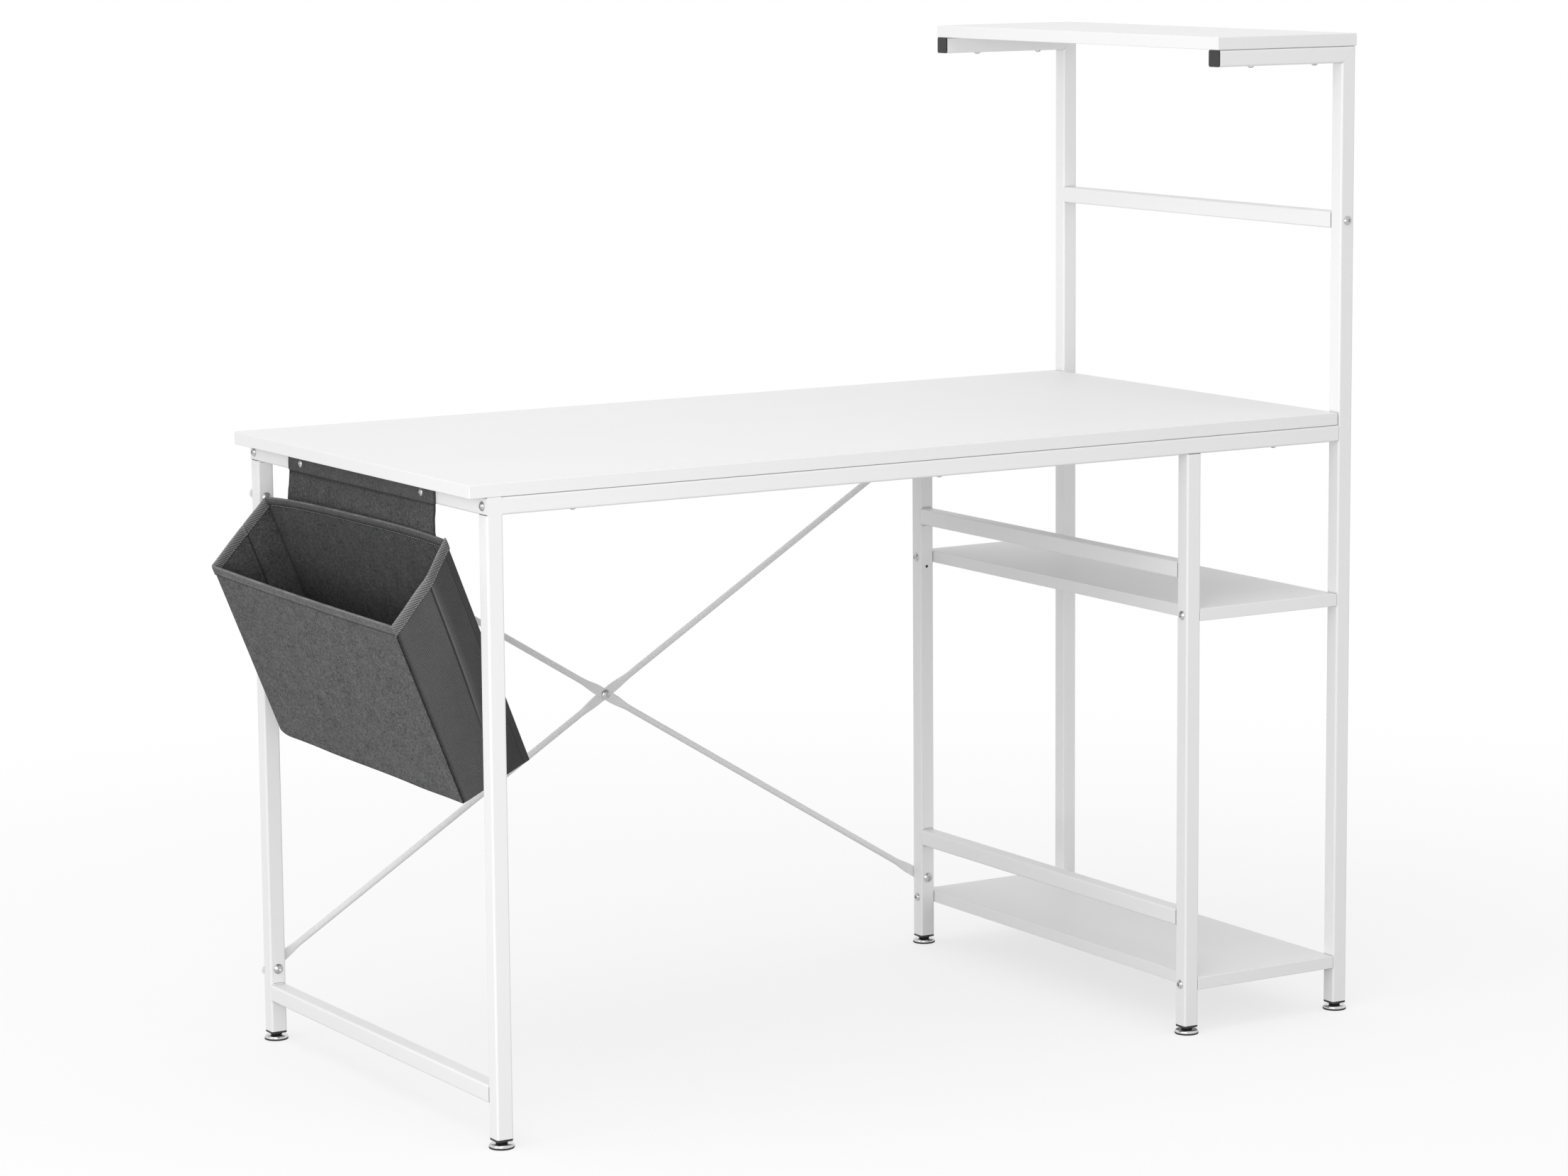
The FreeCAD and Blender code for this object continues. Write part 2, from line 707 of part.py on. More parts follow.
back_corners = rectangle(-hem_radius, hem_radius, 0, pocket_back_height)
back_panel = pocket_plate(back_corners, -half_width, pocket_width)
hem = Part.makeCylinder(hem_radius, pocket_width, hinge - BACK * half_width, BACK)
nodes["pocket_back"] = back_panel.fuse(hem)
front_corners = rectangle(front_inside, pocket_depth, pocket_front_drop, pocket_back_height)
nodes["pocket_front"] = pocket_plate(front_corners, -half_width, pocket_width)
base_corners = rectangle(hem_radius, front_inside, base_top, pocket_back_height)
nodes["pocket_base"] = pocket_plate(base_corners, -half_width, pocket_width)
gusset_corners = [
    (hem_radius, 0),
    (front_inside, pocket_front_drop),
    (front_inside, base_top),
    (hem_radius, base_top),
]
nodes["pocket_front_gusset"] = pocket_plate(gusset_corners, -half_width, gusset_thickness)
nodes["pocket_rear_gusset"] = pocket_plate(gusset_corners, half_width - gusset_thickness, gusset_thickness)
board_top = pocket_front_drop + front_board_margin
board_half_width = half_width - gusset_thickness - front_board_margin
board_inside = front_inside - front_board_thickness
board_corners = rectangle(board_inside, front_inside, board_top, base_top - moving_gap)
nodes["pocket_front_board"] = pocket_plate(board_corners, -board_half_width, 2 * board_half_width)
binding_corners = [
    (hem_radius, 0),
    (front_inside, pocket_front_drop),
    (front_inside, pocket_front_drop + binding_width),
    (hem_radius, binding_width),
]
binding_starts = (-half_width - binding_thickness, half_width)
bindings = [pocket_plate(binding_corners, start, binding_thickness) for start in binding_starts]
nodes["pocket_rim_binding"] = Part.makeCompound(bindings)

flap_bottom = hinge.z + hem_radius + moving_gap
flap_corner = Vector(left_frame_inset - flap_thickness, pocket_centre - flap_width / 2, flap_bottom)
flap = Part.makeBox(flap_thickness, flap_width, rail_top - flap_top_gap - flap_bottom, flap_corner)
flap_screw_head = (pocket_screw_head_diameter, screw_head_height)
flap_recess = cross_recess(pocket_screw_head_diameter)
flap_screw = fastener(flap_screw_head, screw_diameter, pocket_screw_length, screw_tip_share, flap_recess)
flap_hole_length = flap_thickness + 2 * cut_overrun
flap_holes = []
pocket_screws = []
for y in pocket_screw_places:
    seat = Vector(left_frame_inset - flap_thickness, y, rail_middle)
    flap_holes.append(Part.makeCylinder(screw_hole / 2, flap_hole_length, seat - RIGHT * cut_overrun, RIGHT))
    pocket_screws.append(place(flap_screw, seat, RIGHT))
nodes["pocket_flap"] = flap.cut(flap_holes)
nodes["pocket_screws"] = Part.makeCompound(pocket_screws)


# The origin is on the floor under the middle of the whole desk
box = Part.makeCompound(list(nodes.values())).optimalBoundingBox(False)
origin = Vector(box.Center.x, box.Center.y, box.ZMin)
os.makedirs("parts", exist_ok=True)
for name, shape in nodes.items():
    shape.translated(-origin).exportStep(os.path.join("parts", name + ".step"))
print("nodes", len(nodes))
print("origin", [round(value, 4) for value in origin])
print("size", round(box.XLength, 3), round(box.YLength, 3), round(box.ZLength, 3))
print("pocket hinge", [round(value, 4) for value in hinge - origin])
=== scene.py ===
import json
import math
from functools import cache

import bmesh
import bpy
from bpy.props import FloatProperty, FloatVectorProperty, PointerProperty
from mathutils import Euler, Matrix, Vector, noise


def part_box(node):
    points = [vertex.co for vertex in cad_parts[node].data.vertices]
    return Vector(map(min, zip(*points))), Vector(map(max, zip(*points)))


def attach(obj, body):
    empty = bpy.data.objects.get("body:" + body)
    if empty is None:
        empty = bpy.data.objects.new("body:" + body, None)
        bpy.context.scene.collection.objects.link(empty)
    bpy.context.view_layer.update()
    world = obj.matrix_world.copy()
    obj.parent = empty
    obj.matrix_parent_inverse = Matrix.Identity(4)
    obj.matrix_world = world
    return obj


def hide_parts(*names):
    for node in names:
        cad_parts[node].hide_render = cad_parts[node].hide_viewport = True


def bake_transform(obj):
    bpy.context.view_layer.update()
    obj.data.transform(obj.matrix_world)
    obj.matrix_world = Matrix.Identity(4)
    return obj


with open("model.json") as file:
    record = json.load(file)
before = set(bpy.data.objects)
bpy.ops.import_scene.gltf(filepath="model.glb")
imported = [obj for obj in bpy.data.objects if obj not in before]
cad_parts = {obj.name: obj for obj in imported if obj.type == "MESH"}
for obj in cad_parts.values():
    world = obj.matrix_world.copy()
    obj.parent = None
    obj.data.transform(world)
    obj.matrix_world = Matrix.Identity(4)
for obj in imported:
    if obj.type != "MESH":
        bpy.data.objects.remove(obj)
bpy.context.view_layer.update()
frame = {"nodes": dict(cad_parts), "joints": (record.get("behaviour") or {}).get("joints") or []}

bl_info = {
    "name": "Shelf tower desk",
    "version": (1, 0, 0),
    "blender": (4, 5, 0),
    "location": "3D View > Sidebar > Desk",
    "description": "Finishes, weld beads and felt pocket of a white steel desk with a shelf tower",
    "category": "Object",
}

MM = 0.001
LENGTH = {"subtype": "DISTANCE", "unit": "LENGTH"}
POWER = {"subtype": "POWER", "unit": "POWER"}
COLOUR = {"subtype": "COLOR", "size": 4, "min": 0, "max": 1}
HINGE = next(joint for joint in frame["joints"] if joint["name"] == "pocket_swing")
HINGE_POINT = Vector(HINGE["pos_m"])
RAIL_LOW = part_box("left_top_rail")[0]
FLAP_LOW, FLAP_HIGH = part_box("pocket_flap")
BACK_LOW, BACK_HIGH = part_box("pocket_back")

BOARDS = ("desktop", "middle_shelf", "lower_shelf", "raised_shelf")
BRACE = ("falling_brace_bar", "rising_brace_bar")
TUBES = tuple(
    name
    for name, node in frame["nodes"].items()
    if node.data.materials[0].name == "white_powder_coat" and name not in BRACE
)
FASTENERS = (
    "frame_bolts",
    "shelf_bolts",
    "brace_bolts",
    "brace_centre_bolt",
    "brace_nuts",
    "nut_plates",
    "shelf_insert_nuts",
    "arm_screws",
    "desktop_screws",
    "pocket_screws",
)
FEET = ("left_front", "left_rear", "inner_front", "inner_rear", "tall_front", "tall_rear")

# Corners of the pocket's two ends, as distances outward and down from the hinge line in the tilted pocket
FRONT_END = {
    "back_rim": Vector((0.0, 0.0)) * MM,
    "front_rim": Vector((96.3, 59.5)) * MM,
    "front_foot": Vector((96.6, 282.4)) * MM,
    "back_foot": Vector((3.3, 275.8)) * MM,
}
REAR_END = {
    "back_rim": Vector((18.1, -10.6)) * MM,
    "front_rim": Vector((112.4, 33.3)) * MM,
    "front_foot": Vector((114.3, 255.2)) * MM,
    "back_foot": Vector((16.2, 249.0)) * MM,
}
BACK_CLOTH, GUSSET_CLOTH, FRONT_CLOTH = range(3)
SEAM_AND_SHADE_MARK = "seam_and_shade_mark"
WEAR_AND_HIGHLIGHT_MARK = "wear_and_highlight_mark"

# Tints that joints and wear bring to a finish, and the painted shade and painted highlights in crevices,
# creases and folds
JOINT_LINE = (0.56, 0.55, 0.54, 1)
RUBBED_MELAMINE = (0.7, 0.69, 0.68, 1)
RUBBED_COAT = (0.68, 0.68, 0.68, 1)
CREVICE_SHADE = (0.16, 0.16, 0.16, 1)
RUBBED_PLATE = (0.86, 0.86, 0.86, 1)
RUBBED_PLASTIC = (0.09, 0.09, 0.09, 1)
SEAM_SHADE = (0.012, 0.012, 0.012, 1)
PALE_CLOTH_WEAR_AND_HIGHLIGHT = (0.26, 0.26, 0.26, 1)
WHITE = (1, 1, 1, 1)

# Sockets of a Mix node that mixes colours, where names alone would find the sockets for numbers
MIX_FIRST, MIX_SECOND, MIX_RESULT = 6, 7, 2


class DeskFinishSettings(bpy.types.PropertyGroup):
    """Colours of the boards, the steel, the plastic and the cloth, and sizes of the band and the welds."""

    board_white: FloatVectorProperty(
        name="Board white",
        description="Colour of the melamine facing",
        default=(0.83, 0.83, 0.83, 1),
        **COLOUR,
    )
    coat_white: FloatVectorProperty(
        name="Coat white",
        description="Colour of the powder coat on the tubes",
        default=(0.84, 0.84, 0.84, 1),
        **COLOUR,
    )
    brace_grey: FloatVectorProperty(
        name="Brace grey",
        description="Colour of the paint on the brace's bars",
        default=(0.82, 0.82, 0.82, 1.0),
        **COLOUR,
    )
    zinc: FloatVectorProperty(
        name="Zinc", description="Colour of the plated fasteners", default=(0.5, 0.5, 0.5, 1.0), **COLOUR
    )
    polished_zinc: FloatVectorProperty(
        name="Polished zinc",
        description="Colour of the levelling discs",
        default=(0.62, 0.62, 0.63, 1),
        **COLOUR,
    )
    plastic_black: FloatVectorProperty(
        name="Plastic black",
        description="Colour of the arm caps and the foot inserts",
        default=(0.02, 0.02, 0.021, 1),
        **COLOUR,
    )
    rubber_black: FloatVectorProperty(
        name="Rubber black",
        description="Colour of the foot soles",
        default=(0.018, 0.018, 0.018, 1),
        **COLOUR,
    )
    felt_grey: FloatVectorProperty(
        name="Felt grey",
        description="Colour of the front panel's pressed felt",
        default=(0.119, 0.119, 0.12, 1),
        **COLOUR,
    )
    # A darker copy of the front panel's felt, for the lining, back panel, base and flap that lie in shade:
    # painted shade.
    shaded_felt: FloatVectorProperty(
        name="Shaded felt",
        description="Colour of the felt in the back panel, the base, the lining and the flap",
        default=(0.072, 0.072, 0.073, 1),
        **COLOUR,
    )
    gusset_grey: FloatVectorProperty(
        name="Gusset grey",
        description="Colour of the woven gussets",
        default=(0.088, 0.088, 0.089, 1),
        **COLOUR,
    )
    tape_grey: FloatVectorProperty(
        name="Tape grey",
        description="Colour of the twill tape on the rims",
        default=(0.15, 0.15, 0.151, 1),
        **COLOUR,
    )
    thread_grey: FloatVectorProperty(
        name="Thread grey",
        description="Colour of the sewing thread",
        default=(0.32, 0.32, 0.32, 1.0),
        **COLOUR,
    )
    edge_band: FloatProperty(
        name="Edge band",
        description="Thickness of the plastic band round each board",
        default=1.0 * MM,
        **LENGTH,
    )
    weld_size: FloatProperty(
        name="Weld size",
        description="Leg of the weld beads in the frame's inner corners",
        default=2.2 * MM,
        **LENGTH,
    )
    weld_ripple: FloatProperty(
        name="Weld ripple", description="Length of one ripple along a weld bead", default=1.6 * MM, **LENGTH
    )
    mitre_bead: FloatProperty(
        name="Mitre bead",
        description="Radius of the ground weld line on the tower's mitred corners",
        default=0.45 * MM,
        **LENGTH,
    )


class DeskBraceSettings(bpy.types.PropertyGroup):
    """Sizes of the crossed brace's round bars, which are pressed flat for their bolts."""

    bar_radius: FloatProperty(
        name="Bar radius", description="Radius of the round bar", default=4.0 * MM, **LENGTH
    )
    flat_width: FloatProperty(
        name="Flat width",
        description="Width of the bar where it is pressed flat",
        default=12.6 * MM,
        **LENGTH,
    )
    flat_thickness: FloatProperty(
        name="Flat thickness",
        description="Thickness of the bar where it is pressed flat",
        default=2.0 * MM,
        **LENGTH,
    )
    end_margin: FloatProperty(
        name="End margin",
        description="Length of the rounded end beyond its bolt",
        default=13.5 * MM,
        **LENGTH,
    )
    end_flat: FloatProperty(
        name="End flat",
        description="Length of the flat between an end's bolt and the taper",
        default=17.0 * MM,
        **LENGTH,
    )
    centre_flat: FloatProperty(
        name="Centre flat",
        description="Half the length of the flat where the bars cross",
        default=12.0 * MM,
        **LENGTH,
    )
    taper: FloatProperty(
        name="Taper",
        description="Length over which the bar changes from round to flat",
        default=28.0 * MM,
        **LENGTH,
    )


class DeskPocketSettings(bpy.types.PropertyGroup):
    """Sizes of the felt pocket that hangs from the left end rail."""

    tilt: FloatProperty(
        name="Tilt",
        description="Angle between the pocket's back panel and plumb",
        subtype="ANGLE",
        unit="ROTATION",
        default=math.radians(22),
    )
    panel_thickness: FloatProperty(
        name="Panel thickness",
        description="Thickness of the felt in the front, back and base panels",
        default=2.2 * MM,
        **LENGTH,
    )
    gusset_thickness: FloatProperty(
        name="Gusset thickness", description="Thickness of the woven gussets", default=1.4 * MM, **LENGTH
    )
    hem_width: FloatProperty(
        name="Hem width",
        description="Depth of the folded hem on the front and back rims",
        default=10.5 * MM,
        **LENGTH,
    )
    hem_height: FloatProperty(
        name="Hem height", description="Extra thickness of the folded hem", default=1.4 * MM, **LENGTH
    )
    seam_depth: FloatProperty(
        name="Seam depth",
        description="Depth of the groove beside each sewn edge",
        default=3.0 * MM,
        **LENGTH,
    )
    seam_width: FloatProperty(
        name="Seam width",
        description="Width of the groove beside each sewn edge",
        default=3.4 * MM,
        **LENGTH,
    )
    front_bulge: FloatProperty(
        name="Front bulge",
        description="How far the boarded front panel bows out",
        default=2.5 * MM,
        **LENGTH,
    )
    base_sag: FloatProperty(
        name="Base sag", description="How far the base hangs below its edges", default=6.0 * MM, **LENGTH
    )
    ridge_height: FloatProperty(
        name="Front gusset ridge",
        description="How far the front gusset folds out along its middle crease",
        default=10.0 * MM,
        **LENGTH,
    )
    rear_ridge_height: FloatProperty(
        name="Rear gusset ridge",
        description="How far the rear gusset folds out along its middle crease",
        default=1.5 * MM,
        **LENGTH,
    )
    rim_rise: FloatProperty(
        name="Rim rise",
        description="How far the back panel's rim stands up between its ends",
        default=6.2 * MM,
        **LENGTH,
    )
    crease_depth: FloatProperty(
        name="Crease depth",
        description="Depth of the pressed line in the middle of each gusset",
        default=1.3 * MM,
        **LENGTH,
    )
    wrinkle: FloatProperty(
        name="Wrinkle", description="Height of the soft waves in the gussets", default=2.2 * MM, **LENGTH
    )
    corner_lift: FloatProperty(
        name="Corner lift",
        description="How far the rear lower corner of the front panel is rounded up",
        default=6.5 * MM,
        **LENGTH,
    )
    corner_reach: FloatProperty(
        name="Corner reach",
        description="Length of the front panel's lower edge that the rounding takes",
        default=27.0 * MM,
        **LENGTH,
    )
    binding_width: FloatProperty(
        name="Binding width",
        description="Width of the folded tape on each side of a gusset's rim",
        default=11.0 * MM,
        **LENGTH,
    )
    binding_thickness: FloatProperty(
        name="Binding thickness", description="Thickness of the twill tape", default=1.0 * MM, **LENGTH
    )
    stitch_length: FloatProperty(
        name="Stitch length", description="Length of one stitch", default=3.2 * MM, **LENGTH
    )
    stitch_gap: FloatProperty(
        name="Stitch gap", description="Gap between two stitches", default=1.3 * MM, **LENGTH
    )
    thread_radius: FloatProperty(
        name="Thread radius", description="Radius of the sewing thread", default=0.32 * MM, **LENGTH
    )
    flap_overlap: FloatProperty(
        name="Flap overlap",
        description="Length of the flap that is sewn behind the pocket's back panel",
        default=66.0 * MM,
        **LENGTH,
    )
    flap_hem: FloatProperty(
        name="Flap hem",
        description="Extra thickness of the folded band that is screwed to the rail",
        default=1.0 * MM,
        **LENGTH,
    )
    mesh_step: FloatProperty(
        name="Mesh step",
        description="Spacing of the pocket's mesh away from its seams",
        default=6.0 * MM,
        **LENGTH,
    )


class DeskStageSettings(bpy.types.PropertyGroup):
    """Camera, floor and lamps."""

    camera_place: FloatVectorProperty(
        name="Camera place",
        description="Where the camera stands",
        subtype="TRANSLATION",
        unit="LENGTH",
        size=3,
        default=(-2.85704, -4.70183, 1.38633),
    )
    camera_angles: FloatVectorProperty(
        name="Camera angles",
        description="Tilt, roll and turn of the camera",
        subtype="EULER",
        unit="ROTATION",
        size=3,
        default=(math.radians(81.2569), math.radians(0.4593), math.radians(-31.402)),
    )
    camera_lens: FloatProperty(
        name="Camera lens",
        description="Focal length in millimetres on a 36 mm wide sensor",
        default=106.515,
    )
    floor_radius: FloatProperty(
        name="Floor radius", description="Radius of the round floor", default=9.0, **LENGTH
    )
    floor_white: FloatVectorProperty(
        name="Floor white", description="Colour of the floor", default=(0.9, 0.9, 0.9, 1), **COLOUR
    )
    floor_bounce: FloatVectorProperty(
        name="Floor bounce",
        description="Colour of the light that the floor throws back at the desk",
        default=(0.45, 0.45, 0.45, 1),
        **COLOUR,
    )
    shadow_share: FloatProperty(
        name="Shadow share",
        description="Share of the floor's look that takes light and shadow near the desk",
        subtype="FACTOR",
        min=0,
        max=1,
        default=0.32,
    )
    sky_strength: FloatProperty(
        name="Room light", description="Strength of the even light from all sides", default=0.82
    )
    key_power: FloatProperty(
        name="Key lamp", description="Power of the large lamp on the left", default=108.0, **POWER
    )
    top_power: FloatProperty(
        name="Top lamp", description="Power of the large lamp overhead", default=22.0, **POWER
    )
    front_power: FloatProperty(
        name="Front lamp", description="Power of the large lamp in front", default=38.0, **POWER
    )


def add_node(tree, kind, inputs=None, **values):
    """Adds a shader node with its properties. Each input takes a plain value or a link from a socket."""
    node = tree.nodes.new(kind)
    for key, value in values.items():
        setattr(node, key, value)
    for key, value in (inputs or {}).items():
        if isinstance(value, bpy.types.NodeSocket):
            tree.links.new(value, node.inputs[key])
        else:
            node.inputs[key].default_value = value
    return node


def wire(tree, *pairs):
    """Links pairs of sockets, each from an output to an input."""
    for source, target in pairs:
        tree.links.new(source, target)


def calculate(tree, operation, *values, **settings):
    """Output of a math node whose inputs are numbers or sockets."""
    inputs = dict(enumerate(values))
    return add_node(tree, "ShaderNodeMath", inputs, operation=operation, **settings).outputs[0]


def calculate_vector(tree, operation, first, second, output="Vector"):
    """Output of a vector math node with two sockets for inputs."""
    node = add_node(tree, "ShaderNodeVectorMath", {0: first, 1: second}, operation=operation)
    return node.outputs[output]


def surface_place(tree):
    """Place of a point in its object's own coordinates."""
    return add_node(tree, "ShaderNodeTexCoord").outputs["Object"]


def surface_noise(tree, scale, detail, roughness=0.5):
    """Soft noise over a surface, from 0 to 1."""
    inputs = {"Vector": surface_place(tree), "Scale": scale, "Detail": detail, "Roughness": roughness}
    return add_node(tree, "ShaderNodeTexNoise", inputs).outputs["Fac"]


def ranged(tree, value, low, high):
    """Share of the way from low to high that a value has gone, from 0 to 1."""
    inputs = {"Value": value, "From Min": low, "From Max": high}
    return add_node(tree, "ShaderNodeMapRange", inputs).outputs["Result"]


def blended(tree, factor, first, second):
    """Number that changes from the first to the second as a factor goes from 0 to 1."""
    return add_node(tree, "ShaderNodeMix", {"Factor": factor, "A": first, "B": second}).outputs["Result"]


def spread_about_one(tree, value, spread):
    """Number that runs from 1 - spread to 1 + spread as a 0 to 1 value does."""
    centred = calculate(tree, "MULTIPLY_ADD", value, 2.0, -1.0)
    return calculate(tree, "MULTIPLY_ADD", centred, spread, 1.0)


def varied(tree, colour, value, spread):
    """Colour that is up to a spread darker or paler as a 0 to 1 value goes."""
    inputs = {0: colour, "Scale": spread_about_one(tree, value, spread)}
    return add_node(tree, "ShaderNodeVectorMath", inputs, operation="SCALE").outputs[0]


def shader_group(name, inputs, outputs):
    """Starts a shader node group. Returns its tree, the sockets it is given and the sockets it fills."""
    tree = bpy.data.node_groups.new(name, "ShaderNodeTree")
    for label, kind, default in inputs:
        socket = tree.interface.new_socket(label, in_out="INPUT", socket_type="NodeSocket" + kind)
        socket.default_value = default
    for label, kind in outputs:
        tree.interface.new_socket(label, in_out="OUTPUT", socket_type="NodeSocket" + kind)
    return tree, tree.nodes.new("NodeGroupInput").outputs, tree.nodes.new("NodeGroupOutput").inputs


def place_group(tree, group, inputs):
    """Outputs of a shader node group that is placed in a material with its own values."""
    return add_node(tree, "ShaderNodeGroup", inputs, node_tree=group).outputs


@cache
def mottle_group():
    """Slow change of shade over a surface, as in any batch of paint or cloth."""
    inputs = [("Colour", "Color", (0.8, 0.8, 0.8, 1)), ("Scale", "Float", 12.0), ("Spread", "Float", 0.02)]
    tree, given, filled = shader_group("Mottle", inputs, [("Colour", "Color")])
    cloud = surface_noise(tree, given["Scale"], detail=3.0, roughness=0.6)
    wire(tree, (varied(tree, given["Colour"], cloud, given["Spread"]), filled["Colour"]))
    return tree


@cache
def peel_group():
    """Fine rolling texture of sprayed powder or embossed melamine, with a roughness that follows it."""
    inputs = [("Scale", "Float", 700.0), ("Roughness", "Float", 0.45), ("Spread", "Float", 0.1)]
    tree, given, filled = shader_group("Orange peel", inputs, [("Height", "Float"), ("Roughness", "Float")])
    drift = surface_noise(tree, scale=9.0, detail=4.0)
    factor = spread_about_one(tree, drift, given["Spread"])
    wire(
        tree,
        (surface_noise(tree, given["Scale"], detail=2.0), filled["Height"]),
        (calculate(tree, "MULTIPLY", given["Roughness"], factor), filled["Roughness"]),
    )
    return tree


@cache
def rub_group():
    """Mask of the outer edges, broken up by noise, where a finish is rubbed thin."""
    inputs = [("Radius", "Float", 0.8 * MM), ("Strength", "Float", 1.0)]
    tree, given, filled = shader_group("Edge rub", inputs, [("Mask", "Float")])
    rounded = add_node(tree, "ShaderNodeBevel", {"Radius": given["Radius"]}, samples=4).outputs["Normal"]
    facing = add_node(tree, "ShaderNodeNewGeometry").outputs["Normal"]
    flush = calculate_vector(tree, "DOT_PRODUCT", rounded, facing, "Value")
    edge = ranged(tree, flush, low=0.995, high=0.80)
    broken = calculate(tree, "MULTIPLY", edge, surface_noise(tree, scale=60.0, detail=5.0))
    wire(tree, (calculate(tree, "MULTIPLY", broken, given["Strength"], use_clamp=True), filled["Mask"]))
    return tree


@cache
def crevice_shade_group():
    """Mask of painted shade in the narrow gaps where pieces meet, which little light gets into."""
    inputs = [("Distance", "Float", 2.0 * MM), ("Strength", "Float", 1.0)]
    tree, given, filled = shader_group("Painted crevice shade", inputs, [("Mask", "Float")])
    near = add_node(tree, "ShaderNodeAmbientOcclusion", {"Distance": given["Distance"]}, samples=6)
    shut = ranged(tree, near.outputs["AO"], low=0.78, high=0.45)
    wire(tree, (calculate(tree, "MULTIPLY", shut, given["Strength"]), filled["Mask"]))
    return tree


@cache
def fibre_group():
    """Matted fibres of pressed felt: fine flecks over soft clouds, as a shade and a height."""
    inputs = [("Colour", "Color", (0.1, 0.1, 0.1, 1)), ("Scale", "Float", 700.0), ("Contrast", "Float", 0.3)]
    tree, given, filled = shader_group("Felt fibres", inputs, [("Colour", "Color"), ("Height", "Float")])
    cloud_share = 0.25
    flecks = surface_noise(tree, given["Scale"], detail=6.0, roughness=0.75)
    clouds = surface_noise(tree, scale=60.0, detail=5.0, roughness=0.65)
    clear_flecks = ranged(tree, flecks, low=0.32, high=0.68)
    clear_clouds = ranged(tree, clouds, low=0.25, high=0.75)
    both = blended(tree, cloud_share, clear_flecks, clear_clouds)
    shade = varied(tree, given["Colour"], both, given["Contrast"])
    wire(tree, (shade, filled["Colour"]), (flecks, filled["Height"]))
    return tree


@cache
def twill_group():
    """Diagonal ribs of a twill weave in an upright plane, as a shade and a height."""
    inputs = [
        ("Colour", "Color", (0.1, 0.1, 0.1, 1)),
        ("Ribs", "Vector", (0.0, 0.0, 600.0)),
        ("Picks", "Vector", (600.0, 0.0, 0.0)),
        ("Dots", "Float", 0.5),
        ("Contrast", "Float", 0.3),
    ]
    tree, given, filled = shader_group("Twill", inputs, [("Colour", "Color"), ("Height", "Float")])
    place = surface_place(tree)
    jitter = surface_noise(tree, scale=240.0, detail=2.0)
    waves = []
    for name, shake in (("Ribs", 2.4), ("Picks", 3.5)):
        turns = calculate_vector(tree, "DOT_PRODUCT", place, given[name], "Value")
        shaken = calculate(tree, "MULTIPLY_ADD", jitter, shake, turns)
        waves.append(ranged(tree, calculate(tree, "SINE", shaken), low=-1.0, high=1.0))
    weave = blended(tree, given["Dots"], *waves)
    shade = varied(tree, given["Colour"], weave, given["Contrast"])
    wire(tree, (shade, filled["Colour"]), (weave, filled["Height"]))
    return tree


@cache
def band_group():
    """Line where a board's edge band meets its facing, from the board's own corners."""
    inputs = [("Low", "Vector", (0, 0, 0)), ("High", "Vector", (1, 1, 1)), ("Band", "Float", 1.0 * MM)]
    tree, given, filled = shader_group("Edge band", inputs, [("Line", "Float")])
    place = surface_place(tree)
    above_low = calculate_vector(tree, "SUBTRACT", place, given["Low"])
    below_high = calculate_vector(tree, "SUBTRACT", given["High"], place)
    nearest = calculate_vector(tree, "MINIMUM", above_low, below_high)
    parts = add_node(tree, "ShaderNodeSeparateXYZ", {0: nearest}).outputs
    least = calculate(tree, "MINIMUM", parts["X"], parts["Y"])
    half_line = 0.25 * MM
    line = calculate(tree, "COMPARE", least, given["Band"], half_line)
    facing = add_node(tree, "ShaderNodeNewGeometry").outputs["Normal"]
    upright = add_node(tree, "ShaderNodeSeparateXYZ", {0: facing}).outputs["Z"]
    level = calculate(tree, "ABSOLUTE", upright)
    wire(tree, (calculate(tree, "MULTIPLY", level, line), filled["Line"]))
    return tree


def bare_material(name):
    """New material with an empty node tree."""
    material = bpy.data.materials.new(name)
    material.use_nodes = True
    material.node_tree.nodes.clear()
    return material, material.node_tree


def principled(name, inputs):
    """New material with a Principled shader, whose plain values are set on its own sockets."""
    material, tree = bare_material(name)
    shader = add_node(tree, "ShaderNodeBsdfPrincipled", inputs)
    add_node(tree, "ShaderNodeOutputMaterial", {"Surface": shader.outputs["BSDF"]})
    return material, tree, shader.inputs


def bump(tree, sockets, height, strength, distance):
    """Feeds a height to the normal among a shader's sockets."""
    inputs = {"Strength": strength, "Distance": distance, "Height": height}
    wire(tree, (add_node(tree, "ShaderNodeBump", inputs).outputs["Normal"], sockets["Normal"]))


def tinted(tree, colour, tint, mask):
    """Colour that changes to a tint where a mask is 1."""
    inputs = {"Factor": mask, MIX_FIRST: colour, MIX_SECOND: tint}
    return add_node(tree, "ShaderNodeMix", inputs, data_type="RGBA").outputs[MIX_RESULT]


def dress(names, material):
    """Gives CAD nodes a material in place of the frame's plain one."""
    for name in names:
        frame["nodes"][name].material_slots[0].material = material


def coated(name, plain, shade, grain, tints, strength, distance):
    """Hard finish with a drifting shade and a fine grain, tinted in turn where each mask shows."""
    material, tree, sockets = principled(name, plain)
    colour = place_group(tree, mottle_group(), shade)["Colour"]
    texture = place_group(tree, peel_group(), grain)
    for group, inputs, tint in tints:
        colour = tinted(tree, colour, tint, place_group(tree, group, inputs)[0])
    wire(tree, (colour, sockets["Base Color"]), (texture["Roughness"], sockets["Roughness"]))
    bump(tree, sockets, texture["Height"], strength, distance)
    return material


